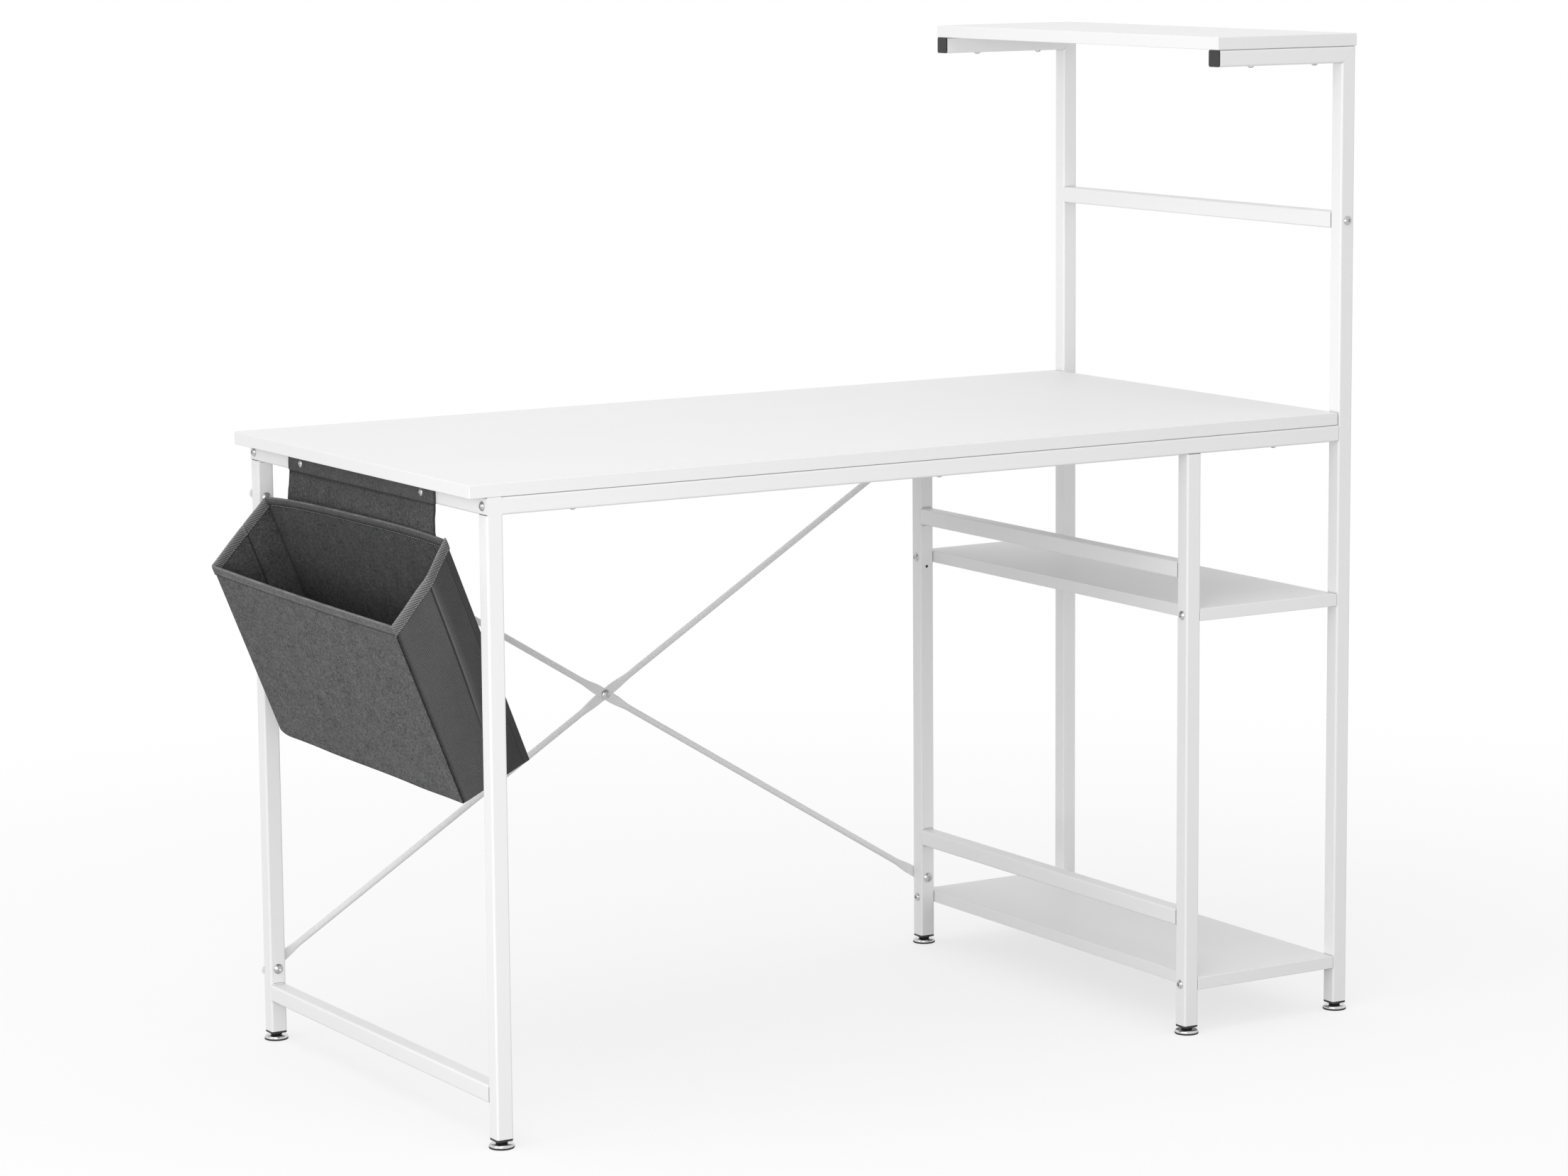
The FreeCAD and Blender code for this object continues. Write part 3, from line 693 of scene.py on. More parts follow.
def melamine(board, finish):
    """Pearl-embossed white melamine with a faint joint line along the board's edge band."""
    low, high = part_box(board)
    return coated(
        "white_melamine_" + board,
        plain={"Specular IOR Level": 0.45},
        shade={"Colour": finish.board_white, "Scale": 7.0, "Spread": 0.012},
        grain={"Scale": 1400.0, "Roughness": 0.5, "Spread": 0.12},
        tints=[
            (band_group(), {"Low": low, "High": high, "Band": finish.edge_band}, JOINT_LINE),
            (rub_group(), {"Radius": 0.7 * MM, "Strength": 0.5}, RUBBED_MELAMINE),
        ],
        strength=0.12,
        distance=0.15 * MM,
    )


def powder_coat(finish):
    """White powder coat with a fine orange peel, thinner along the edges and with painted shade in the
    joints.
    """
    return coated(
        "white_powder_coat_paint",
        plain={"Specular IOR Level": 0.5},
        shade={"Colour": finish.coat_white, "Scale": 9.0, "Spread": 0.012},
        grain={"Scale": 620.0, "Roughness": 0.4, "Spread": 0.15},
        tints=[
            (rub_group(), {"Radius": 0.6 * MM, "Strength": 0.45}, RUBBED_COAT),
            # The crevice mask darkens the coat in the joints: painted shade.
            (crevice_shade_group(), {"Distance": 2.4 * MM, "Strength": 0.6}, CREVICE_SHADE),
        ],
        strength=0.2,
        distance=0.2 * MM,
    )


def brace_paint(finish):
    """Thin grey-white paint on the brace's round bars."""
    return coated(
        "grey_white_brace_paint",
        plain={"Specular IOR Level": 0.4},
        shade={"Colour": finish.brace_grey, "Scale": 30.0, "Spread": 0.03},
        grain={"Scale": 1600.0, "Roughness": 0.45, "Spread": 0.15},
        tints=[],
        strength=0.1,
        distance=0.05 * MM,
    )


def plated(name, colour, roughness, scale):
    """Plated steel with fine scratches and brighter rubbed edges."""
    return coated(
        name,
        plain={"Metallic": 1.0},
        shade={"Colour": colour, "Scale": 90.0, "Spread": 0.14},
        grain={"Scale": scale, "Roughness": roughness, "Spread": 0.3},
        tints=[(rub_group(), {"Radius": 0.4 * MM, "Strength": 0.8}, RUBBED_PLATE)],
        strength=0.15,
        distance=0.1 * MM,
    )


def moulded(name, colour, roughness, scale):
    """Moulded black plastic or rubber with a fine grain and edges rubbed a little paler."""
    return coated(
        name,
        plain={"Specular IOR Level": 0.45},
        shade={"Colour": colour, "Scale": 160.0, "Spread": 0.2},
        grain={"Scale": scale, "Roughness": roughness, "Spread": 0.18},
        tints=[(rub_group(), {"Radius": 0.5 * MM, "Strength": 0.6}, RUBBED_PLASTIC)],
        strength=0.3,
        distance=0.15 * MM,
    )


def marked(tree, colour):
    """Cloth colour, darker along the marked seams and painted shade, and paler where wear and painted
    highlights are marked.
    """
    for name, tint in ((SEAM_AND_SHADE_MARK, SEAM_SHADE), (WEAR_AND_HIGHLIGHT_MARK, PALE_CLOTH_WEAR_AND_HIGHLIGHT)):
        mark = add_node(tree, "ShaderNodeAttribute", attribute_name=name)
        colour = tinted(tree, colour, tint, mark.outputs["Fac"])
    return colour


def felt(name, colour):
    """Grey pressed felt, darker along its seams and painted shade, paler where its edges are rubbed and where
    highlights are painted.
    """
    material, tree, sockets = principled(name, {"Roughness": 0.95, "Specular IOR Level": 0.15})
    fibre = place_group(tree, fibre_group(), {"Colour": colour, "Scale": 340.0, "Contrast": 0.85})
    wire(tree, (marked(tree, fibre["Colour"]), sockets["Base Color"]))
    bump(tree, sockets, fibre["Height"], strength=0.6, distance=0.6 * MM)
    return material


def woven(name, colour, ribs, picks, dots, contrast, depth):
    """Woven cloth with fibre flecks over its ribs; dots is the picks' share of the pattern."""
    material, tree, sockets = principled(name, {"Roughness": 0.9, "Specular IOR Level": 0.2})
    weave = {"Colour": colour, "Ribs": ribs, "Picks": picks, "Dots": dots, "Contrast": contrast}
    twill = place_group(tree, twill_group(), weave)
    flecks = {"Colour": twill["Colour"], "Scale": 700.0, "Contrast": 0.25}
    fibre = place_group(tree, fibre_group(), flecks)
    wire(tree, (marked(tree, fibre["Colour"]), sockets["Base Color"]))
    bump(tree, sockets, twill["Height"], strength=0.7, distance=depth)
    return material


def new_piece(name, points, faces, materials, face_materials=None, marks=None):
    """New closed mesh object of the desk from points and faces, with its normals turned outward.

    The marks say how dark each point of a cloth is, from seams and painted shade, and how pale, from wear and
    painted highlights, for its material to read.
    """
    mesh = bpy.data.meshes.new(name)
    mesh.from_pydata([tuple(point) for point in points], [], faces)
    for material in materials:
        mesh.materials.append(material)
    if face_materials:
        mesh.polygons.foreach_set("material_index", face_materials)
    mesh.shade_smooth()
    mesh.validate()
    if marks:
        for label, values in zip((SEAM_AND_SHADE_MARK, WEAR_AND_HIGHLIGHT_MARK), zip(*marks)):
            mesh.attributes.new(label, "FLOAT", "POINT").data.foreach_set("value", values)
    shape = bmesh.new()
    shape.from_mesh(mesh)
    bmesh.ops.recalc_face_normals(shape, faces=shape.faces)
    shape.to_mesh(mesh)
    shape.free()
    piece = bpy.data.objects.new(name, mesh)
    bpy.context.scene.collection.objects.link(piece)
    return piece


def soften(piece):
    """Rounds a cloth's mesh by one level of subdivision."""
    modifier = piece.modifiers.new("Soften", "SUBSURF")
    modifier.levels = modifier.render_levels = 1


class Loft:
    """Points and faces of sections joined one to the next, gathered for one mesh."""

    def __init__(self):
        self.points = []
        self.faces = []

    def add(self, sections):
        """Joins closed sections of equal point counts, with caps at both ends."""
        start = len(self.points)
        count = len(sections[0])
        for section in sections:
            self.points.extend(section)
        for row in range(len(sections) - 1):
            low = start + row * count
            for index in range(count):
                after = (index + 1) % count
                self.faces.append((low + index, low + after, low + count + after, low + count + index))
        last = start + (len(sections) - 1) * count
        self.faces.append(tuple(reversed(range(start, start + count))))
        self.faces.append(tuple(range(last, last + count)))


def smooth_step(value, low, high):
    """Number that eases from 0 at low to 1 at high."""
    share = min(1.0, max(0.0, (value - low) / (high - low)))
    return share * share * (3 - 2 * share)


def shares_along(length, step, fine, marks=()):
    """Shares of a length: even steps, with fine steps beside both ends and on both sides of marks."""
    places = {0.0, length}
    for offset in fine:
        places.update((offset, length - offset))
        for mark in marks:
            places.update((mark - offset, mark, mark + offset))
    count = max(2, round(length / step))
    taken = sorted(places)
    for index in range(count + 1):
        place = length * index / count
        if min(abs(place - other) for other in taken) > step * 0.45:
            places.add(place)
    return [place / length for place in sorted(places) if 0 <= place <= length]


def ridge_line(distance, centre, half):
    """Number that is 1 on a line and falls to 0 at half a width from it."""
    return max(0.0, 1 - abs(distance - centre) / half)


def uneven(x, y, z):
    """Smooth noise between -1 and 1 at a place."""
    return noise.noise(Vector((x, y, z)))


def round_turns(sides):
    """Cosine and sine of each corner of a regular polygon."""
    angles = [math.tau * turn / sides for turn in range(sides)]
    return [(math.cos(angle), math.sin(angle)) for angle in angles]


class PocketForm:
    """Faces of the felt pocket, worked out from its corner profiles, hems, seams, creases and sag."""

    # Offsets of the mesh's finer lines from seams and from hems
    SEAM_FINE = (0.9 * MM, 1.9 * MM, 3.2 * MM)
    HEM_FINE = (1.2 * MM, 2.6 * MM)

    # Waves and bulges of the rims, the lower edge and the panels
    FOOT_PULL_SHARE = 0.35
    FOOT_WAVE = 3.2 * MM
    RIM_DIP = 1.8 * MM
    RIM_FLATNESS = 3.5
    FRONT_WAVE = 1.6 * MM
    BACK_BULGE = 2.0 * MM
    BACK_WAVE = 1.4 * MM

    # Hems, with a stitch line that lies above the fold's lower edge
    HEM_LIP = 0.4 * MM
    HEM_FALL = 1.0 * MM
    HEM_RUB = 1.6 * MM
    STITCH_INSET = 2.4 * MM
    STITCH_HALF = 1.6 * MM

    # Gussets, with a crease and a strip that is sewn along the back panel
    RIDGE_SHARE = 0.57
    CREASE_HALF = 1.8 * MM
    BACK_STRIP = 8.0 * MM
    STRIP_STEP = 6.0 * MM
    STRIP_RISE = 0.8 * MM

    # Half widths of the dark lines of seams and painted shade, and of the pale lines of wear and painted
    # highlights
    WORN_LINE = 1.5 * MM
    EDGE_LINE = 1.6 * MM
    FOOT_LINE = 3.0 * MM
    FRONT_STITCH_LINE = 2.0 * MM
    BACK_STITCH_LINE = 2.6 * MM
    INNER_CORNER_SHADE = 6.0 * MM
    FOLD_LINE = 1.4 * MM
    FOLD_HIGHLIGHT_OFFSET = 2.2 * MM
    STRIP_SHADE = 1.0 * MM
    CREASE_SHADE_REACH = 6.0 * MM

    def __init__(self, sizes):
        self.sizes = sizes
        self.front_y = BACK_LOW.y
        self.width = BACK_HIGH.y - BACK_LOW.y
        self.depth = FRONT_END["front_rim"].x - FRONT_END["back_rim"].x
        self.height = FRONT_END["front_foot"].y - FRONT_END["front_rim"].y
        self.back_height = FRONT_END["back_foot"].y - FRONT_END["back_rim"].y
        self.along = shares_along(self.width, sizes.mesh_step, self.SEAM_FINE)
        lines = (self.depth * self.RIDGE_SHARE, self.depth - self.BACK_STRIP)
        self.across = shares_along(self.depth, sizes.mesh_step, self.SEAM_FINE, lines)
        self.up = shares_along(self.height, sizes.mesh_step, self.HEM_FINE, (self.height - sizes.hem_width,))

    def place(self, share, out, down, sideways=0.0):
        """Point of the tilted pocket at a share of its width, in the desk's frame."""
        lean, drop = math.sin(self.sizes.tilt), math.cos(self.sizes.tilt)
        return Vector((
            HINGE_POINT.x - out * drop + down * lean,
            self.front_y + share * self.width + sideways,
            HINGE_POINT.z - out * lean - down * drop,
        ))

    def corner(self, name, share):
        """Outward and downward distances of a corner line at a share of the width."""
        spot = FRONT_END[name].lerp(REAR_END[name], share)
        middle = math.sin(math.pi * share)
        if name == "front_foot":
            from_rear = (1 - share) * self.width
            turn = max(0.0, 1 - from_rear / self.sizes.corner_reach)
            lift = self.sizes.corner_lift * (1 - math.sqrt(1 - turn * turn))
            spot.x -= self.FOOT_PULL_SHARE * lift
            spot.y += self.FOOT_WAVE * middle * uneven(share * 5.0, 3.7, 0.4) - lift
        if name == "front_rim":
            spot.y += self.RIM_DIP * middle
        if name == "back_rim":
            spot.y -= self.sizes.rim_rise * (1 - abs(2 * share - 1) ** self.RIM_FLATNESS)
        return spot

    def inset(self, share, length, inside):
        """Share of a length, kept a thickness away from both ends."""
        return min(max(share, inside / length), 1 - inside / length)

    def hem(self, below):
        """Extra thickness at a distance below a hemmed rim, with the dip of its stitch line."""
        width = self.sizes.hem_width
        fold = 1 - smooth_step(below, width - self.HEM_LIP, width + self.HEM_FALL)
        dip = ridge_line(below, width - self.STITCH_INSET, self.STITCH_HALF)
        return self.sizes.hem_height * (fold - 0.5 * dip)

    def hem_rub(self, below):
        """Paleness of a rubbed hem at a distance below its rim."""
        width = self.sizes.hem_width
        return 1 - smooth_step(below, width - self.HEM_RUB, width - self.HEM_LIP)

    def worn_edge(self, share, below):
        """Paleness of a rim's worn top edge, uneven along the rim."""
        return (0.55 + 0.35 * uneven(share * 31.0, 9.2, 0.7)) * ridge_line(below, 0, self.WORN_LINE)

    def front(self, share, up, inside=0.0):
        """Point of the front panel; inside is the depth below its outer face."""
        low = self.corner("front_foot", share)
        spot = low.lerp(self.corner("front_rim", share), up)
        edge = math.sin(math.pi * share) * math.sin(math.pi * up)
        bulge = self.sizes.front_bulge * edge
        bulge += self.FRONT_WAVE * min(1.0, 3 * edge) * uneven(share * 4.1, up * 2.3, 1.7)
        if not inside:
            bulge += self.hem((1 - up) * self.height)
        inner = self.inset(share, self.width, inside)
        return self.place(inner, spot.x + bulge - inside, min(spot.y, low.y - inside))

    def front_marks(self, share, up, inside):
        """Darkness of the seams, painted shade in the inner corners, and paleness of the rubbed hem on the
        front panel.
        """
        below = (1 - up) * self.height
        edge = min(share, 1 - share) * self.width
        hem = self.hem_rub(below)
        worn = self.worn_edge(share, below)
        if inside:
            # Inside, the panel darkens towards its side corners: painted shade.
            return 0.6 * ridge_line(edge, 0, self.INNER_CORNER_SHADE), max(0.3 * hem, worn)
        stitch = 0.55 * ridge_line(below, self.sizes.hem_width, self.FRONT_STITCH_LINE)
        foot = 0.6 * ridge_line(up * self.height, 0, self.FOOT_LINE)
        return max(stitch, foot, 0.5 * ridge_line(edge, 0, self.EDGE_LINE)), max(0.2 * hem, worn)

    def back(self, share, up, inside=0.0):
        """Point of the back panel; inside is the depth below its outer face."""
        low = self.corner("back_foot", share)
        spot = low.lerp(self.corner("back_rim", share), up)
        edge = math.sin(math.pi * share) * math.sin(math.pi * up)
        bulge = edge * (self.BACK_BULGE + self.BACK_WAVE * uneven(share * 3.3, up * 2.9, 8.1))
        thickness = inside + self.hem((1 - up) * self.back_height) if inside else 0.0
        inner = self.inset(share, self.width, inside)
        return self.place(inner, spot.x - bulge + thickness, min(spot.y, low.y - inside))

    def back_marks(self, share, up, inside):
        """Darkness of the seams, painted shade in the inner corners, and paleness of the rubbed hem on the
        back panel.
        """
        below = (1 - up) * self.back_height
        edge = min(share, 1 - share) * self.width
        hem = self.hem_rub(below)
        worn = 0.7 * self.worn_edge(share, below)
        if not inside:
            return 0.5 * ridge_line(edge, 0, self.EDGE_LINE), max(0.2 * hem, worn)
        stitch = 0.7 * ridge_line(below, self.sizes.hem_width, self.BACK_STITCH_LINE)
        # Inside, the panel darkens towards its side corners: painted shade.
        return max(stitch, 0.6 * ridge_line(edge, 0, self.INNER_CORNER_SHADE)), max(0.16 * hem, worn)

    def gusset(self, rear, across, up, inside=0.0):
        """Point of an end gusset, from front edge to back edge; inside is the depth below its face."""
        share = 1.0 if rear else 0.0
        front = self.corner("front_foot", share).lerp(self.corner("front_rim", share), up)
        back = self.corner("back_foot", share).lerp(self.corner("back_rim", share), up)
        crease = across - self.RIDGE_SHARE
        side = self.RIDGE_SHARE if crease < 0 else 1 - self.RIDGE_SHARE
        tent = max(0.0, 1 - abs(crease) / side)
        fade = smooth_step(up, 0.08, 0.7)
        edge = math.sin(math.pi * across)
        out = (self.sizes.rear_ridge_height if rear else self.sizes.ridge_height) * tent * fade
        ripple = uneven(across * 3.4 + 7.0 * share, up * 3.8, 4.6 + 2.0 * share)
        out += self.sizes.wrinkle * edge * smooth_step(up, 0.0, 0.25) * ripple
        out -= self.sizes.crease_depth * ridge_line(crease * self.depth, 0, self.CREASE_HALF) * fade
        if not inside:
            middle = self.sizes.seam_width / 2
            out -= self.sizes.seam_depth * ridge_line(across * self.depth, middle, middle)
            strip_start, strip_top = self.depth - self.BACK_STRIP, self.depth - self.STRIP_STEP
            out += self.STRIP_RISE * smooth_step(across * self.depth, strip_start, strip_top)
        inset = self.inset(across, self.depth, inside)
        spot = front.lerp(back, inset)
        return self.place(share, spot.x, spot.y, (out - inside) * (1 if rear else -1))

    def gusset_marks(self, across, up, inside):
        """Darkness of the seams, painted shade on the creases, the back strip and the part behind the crease,
        and a painted highlight beside the crease, on a gusset.
        """
        crease = (across - self.RIDGE_SHARE) * self.depth
        fade = smooth_step(up, 0.05, 0.5)
        # The line along the crease is darkened: painted shade in the fold.
        fold = ridge_line(crease, 0, self.FOLD_LINE) * fade
        if inside:
            # Inside, the gusset darkens along its crease and towards its corners: painted shade.
            corner = ridge_line(min(across, 1 - across), 0, self.INNER_CORNER_SHADE / self.depth)
            return max(0.8 * fold, 0.6 * corner), 0.0
        to_back = (1 - across) * self.depth
        seam = ridge_line(across * self.depth, self.sizes.seam_width / 2, self.sizes.seam_width * 0.7)
        # The back strip's fold line is darkened: painted shade.
        strip = ridge_line(to_back, self.BACK_STRIP, self.FOLD_LINE)
        # The back strip, and the part behind the crease (most of all low down), are darkened as if turned
        # from the light: painted shade.
        shade = 0.4 * (1 - smooth_step(to_back, self.BACK_STRIP - self.STRIP_SHADE, self.BACK_STRIP))
        behind_crease_shade = 0.22 + 0.25 * (1 - smooth_step(up, 0.1, 0.5))
        shade = max(shade, behind_crease_shade * smooth_step(crease, 0.0, self.CREASE_SHADE_REACH))
        # A pale line on the crease's ridge: painted highlight.
        rubbed = 0.4 * ridge_line(crease, self.FOLD_HIGHLIGHT_OFFSET, self.FOLD_LINE) * fade
        return max(seam, 0.9 * fold, 0.7 * strip, shade), rubbed

    def base(self, share, across, inside=0.0):
        """Point of the base, from its front edge to its back edge; inside is the depth below its face."""
        sag = self.sizes.base_sag * math.sin(math.pi * share) ** 0.7 * math.sin(math.pi * across)
        inner = self.inset(share, self.width, inside)
        inset = self.inset(across, self.depth, inside)
        spot = self.corner("front_foot", share).lerp(self.corner("back_foot", share), inset)
        return self.place(inner, spot.x, spot.y + sag - inside)

    def ring(self, up, inside):
        """Points once round the pocket at a share of its height, their marks and the kinds of panel."""
        thin = min(inside, self.sizes.gusset_thickness)
        rows = []
        for share in self.along[:-1]:
            rows.append((self.front(share, up, inside), self.front_marks(share, up, inside), FRONT_CLOTH))
        for across in self.across[:-1]:
            point = self.gusset(True, across, up, thin) if across else self.front(1.0, up, inside)
            rows.append((point, self.gusset_marks(across, up, inside), GUSSET_CLOTH))
        for share in reversed(self.along[1:]):
            rows.append((self.back(share, up, inside), self.back_marks(share, up, inside), BACK_CLOTH))
        for across in reversed(self.across[1:]):
            point = self.gusset(False, across, up, thin) if across < 1 else self.back(0.0, up, inside)
            rows.append((point, self.gusset_marks(across, up, inside), GUSSET_CLOTH))
        return zip(*rows)

    def ring_index(self, column, cell):
        """Place in a ring of a point on the border of the base's grid, or None for a point inside it."""
        columns, cells = len(self.along), len(self.across)
        count = 2 * (columns + cells - 2)
        if column == 0:
            return (count - cell) % count
        if column == columns - 1:
            return column + cell
        if cell == 0:
            return column
        if cell == cells - 1:
            return count - cell - column
        return None


def pocket_bag_mesh(form, thickness):
    """Points, marks, faces and face materials of the pocket's closed shell, outside and inside."""
    points = []
    marks = []
    faces = []
    materials = []
    rows = [(up, 0.0) for up in form.up]
    rows += [(up, thickness) for up in reversed(form.up)]
    for up, inside in rows:
        row, row_marks, kinds = form.ring(up, inside)
        points.extend(row)
        marks.extend(row_marks)
    count = len(kinds)
    for level in range(len(rows) - 1):
        low = level * count
        for index in range(count):
            after = (index + 1) % count
            faces.append((low + index, low + count + index, low + count + after, low + after))
            # The inside takes the darker copy of the felt: painted shade.
            materials.append(BACK_CLOTH if rows[level + 1][1] else kinds[index])
    columns, cells = range(len(form.along)), range(len(form.across))
    corners = ((0, 0), (1, 0), (1, 1), (0, 1))
    for level, inside in ((0, 0.0), (len(rows) - 1, thickness)):
        grid = {}
        for column in columns:
            for cell in cells:
                index = form.ring_index(column, cell)
                if index is None:
                    grid[column, cell] = len(points)
                    points.append(form.base(form.along[column], form.across[cell], inside))
                    marks.append((0.0, 0.0))
                else:
                    grid[column, cell] = level * count + index
        for column in columns[:-1]:
            for cell in cells[:-1]:
                faces.append(tuple(grid[column + right, cell + back] for right, back in corners))
                materials.append(BACK_CLOTH)
    return points, marks, faces, materials


def binding_point(form, rear, across, depth, reach):
    """Point of a rim's tape: depth down from the rim, reach out from the gusset's middle surface."""
    share = 1.0 if rear else 0.0
    on_gusset = 1e-9
    front, back = form.corner("front_rim", share), form.corner("back_rim", share)
    slant = (back - front).normalized()
    spot = front.lerp(back, across) + Vector((0, depth / abs(slant.x)))
    up = min(1.0, 1 - depth / abs(slant.x) / form.height)
    sideways = form.gusset(rear, across, up, on_gusset).y - form.place(share, 0, 0).y
    middle = reach - form.sizes.gusset_thickness / 2
    return form.place(share, spot.x, spot.y, sideways + middle * (1 if rear else -1))


def binding_mesh(form, rear):
    """Twill tape folded over one gusset's slanted rim, with a soft round top and a painted highlight along
    its top fold.
    """
    sizes = form.sizes
    sunk, swell, pucker_height = 0.2 * MM, 0.4 * MM, 0.35 * MM
    fold_top, fold_shoulder, fold_start, fold_inside = -1.3 * MM, -0.7 * MM, 1.2 * MM, 0.8 * MM
    edge_depth, edge_turn = 0.6 * MM, 0.9 * MM
    fold_highlight_half, overhang = 2.0 * MM, 1.2 * MM
    skin = sizes.gusset_thickness / 2 + sizes.binding_thickness
    inner = sizes.gusset_thickness / 2 - sunk
    wide = sizes.binding_width
    outline = [(wide, skin - edge_depth), (wide - edge_turn, skin), (wide / 2, skin + swell)]
    outline += [(fold_start, skin), (fold_shoulder, 0.6 * skin), (fold_top, 0.0)]
    outline += [(depth, -reach) for depth, reach in reversed(outline[:-1])]
    outline += [(wide, -inner), (fold_inside, -inner), (fold_inside, inner), (wide, inner)]
    marks = []
    sections = []
    beyond = overhang / form.depth
    for across in [-beyond] + form.across + [1 + beyond]:
        pucker = pucker_height * uneven(across * 21.0, 2.2, 5.5 if rear else 1.5)
        worn = 0.5 + 0.4 * uneven(across * 27.0, 6.1, 3.5 if rear else 0.5)
        section = []
        for depth, reach in outline:
            # The tape is paler along its top fold, unevenly along the rim: painted highlight.
            marks.append((0.0, worn * ridge_line(max(0.0, depth), 0, fold_highlight_half)))
            if abs(reach) > inner:
                reach += math.copysign(pucker, reach)
            section.append(binding_point(form, rear, across, depth, reach))
        sections.append(section)
    loft = Loft()
    loft.add(sections)
    return loft, marks


def stitch_row(loft, sizes, locate, length):
    """Adds a row of short thread stitches along a line; locate gives a point and a normal at a distance."""
    steps, sides, ahead = 4, 6, 0.2 * MM
    turns = round_turns(sides)
    pitch = sizes.stitch_length + sizes.stitch_gap
    for index in range(int(length / pitch)):
        sections = []
        for step in range(steps + 1):
            share = step / steps
            distance = index * pitch + share * sizes.stitch_length
            point, normal = locate(distance)
            along = (locate(distance + ahead)[0] - point).normalized()
            side = along.cross(normal).normalized()
            arch = math.sin(math.pi * share)
            swell = sizes.thread_radius * (0.35 + 0.65 * arch**0.5)
            middle = point + normal * sizes.thread_radius * (0.9 * arch - 0.35)
            sections.append([middle + (side * wide + normal * high) * swell for wide, high in turns])
        loft.add(sections)


def flap_line(form, share):
    """Points of the flap's middle surface: down the rail, on in a bend, then behind the back panel."""
    sizes = form.sizes
    rail_gap, panel_gap, step = 0.1 * MM, 0.25 * MM, 1.0 * MM
    above_fold, below_fold, sewn_least = 0.8 * MM, 0.6 * MM, 8.0 * MM
    rail_steps, hang_steps, sewn_steps = 6, 14, 8
    half = (FLAP_HIGH.x - FLAP_LOW.x) / 2
    rail_x = RAIL_LOW.x - half - rail_gap
    lean, drop = math.sin(sizes.tilt), math.cos(sizes.tilt)
    clear = Vector((drop, 0, lean)) * (half + panel_gap)

    def behind(distance):
        return form.back(share, 1 - distance / form.back_height) + clear

    meeting = step
    while behind(meeting).x < rail_x and meeting < sizes.flap_overlap - sewn_least:
        meeting += step
    y = form.place(share, 0, 0).y
    top = Vector((rail_x, y, FLAP_HIGH.z))
    fold = Vector((rail_x, y, RAIL_LOW.z + above_fold))
    bend = Vector((rail_x, y, RAIL_LOW.z - below_fold))
    seat = behind(meeting)
    reach = (seat - bend).length
    start_pull = Vector((0, 0, -reach))
    end_pull = (behind(meeting + step) - seat).normalized() * reach
    points = [top.lerp(fold, index / rail_steps) for index in range(rail_steps + 1)]
    for index in range(hang_steps + 1):
        t = index / hang_steps
        points.append(
            bend * (2 * t**3 - 3 * t**2 + 1)
            + start_pull * (t**3 - 2 * t**2 + t)
            + seat * (3 * t**2 - 2 * t**3)
            + end_pull * (t**3 - t**2)
        )
    rest = sizes.flap_overlap - meeting
    points += [behind(meeting + rest * index / sewn_steps) for index in range(1, sewn_steps + 1)]
    return points


def cloth_shell(outer, inner):
    """Points and faces of a closed sheet between two grids of points."""
    columns, rows = len(outer), len(outer[0])
    points = [point for line in outer + inner for point in line]
    faces = []
    side = columns * rows
    for column in range(columns - 1):
        for row in range(rows - 1):
            low = column * rows + row
            face = (low, low + 1, low + rows + 1, low + rows)
            faces.append(face)
            faces.append(tuple(side + index for index in reversed(face)))
    border = list(range(rows))
    border += [column * rows + rows - 1 for column in range(1, columns)]
    border += [(columns - 1) * rows + row for row in reversed(range(rows - 1))]
    border += [column * rows for column in reversed(range(1, columns - 1))]
    for index, here in enumerate(border):
        after = border[(index + 1) % len(border)]
        faces.append((here, side + here, side + after, after))
    return points, faces


def bevel_weld(loft, corner, along, first, second, size, ripple):
    """Adds a rippled fillet bead along an inner corner between two faces."""
    least, sunk, ripple_steps = 0.1 * MM, 0.2 * MM, 4
    count = max(ripple_steps, round(along.length / (ripple / ripple_steps)))
    sections = []
    for index in range(count + 1):
        share = index / count
        wave = 0.5 + 0.5 * math.sin(math.tau * share * along.length / ripple)
        taper = smooth_step(min(share, 1 - share), -0.02, 0.08)
        leg = size * (0.82 + 0.18 * wave) * taper + least
        middle = (first + second) * leg * (0.36 + 0.06 * wave)
        root = (first + second) * -sunk
        spot = corner + along * share
        sections.append([spot + root, spot + first * leg, spot + middle, spot + second * leg])
    loft.add(sections)


def ground_weld(loft, start, end, facing, radius):
    """Adds a low, ground weld line on a face between two points."""
    steps, sides, flatness, grit = 24, 6, 0.4, 400.0
    across = (end - start).normalized().cross(facing)
    sections = []
    for step in range(steps + 1):
        spot = start.lerp(end, step / steps)
        wide = radius * (0.85 + 0.3 * noise.noise(spot * grit))
        section = []
        for side, rise in round_turns(sides):
            section.append(spot + across * side * wide + facing * rise * wide * flatness)
        sections.append(section)
    loft.add(sections)


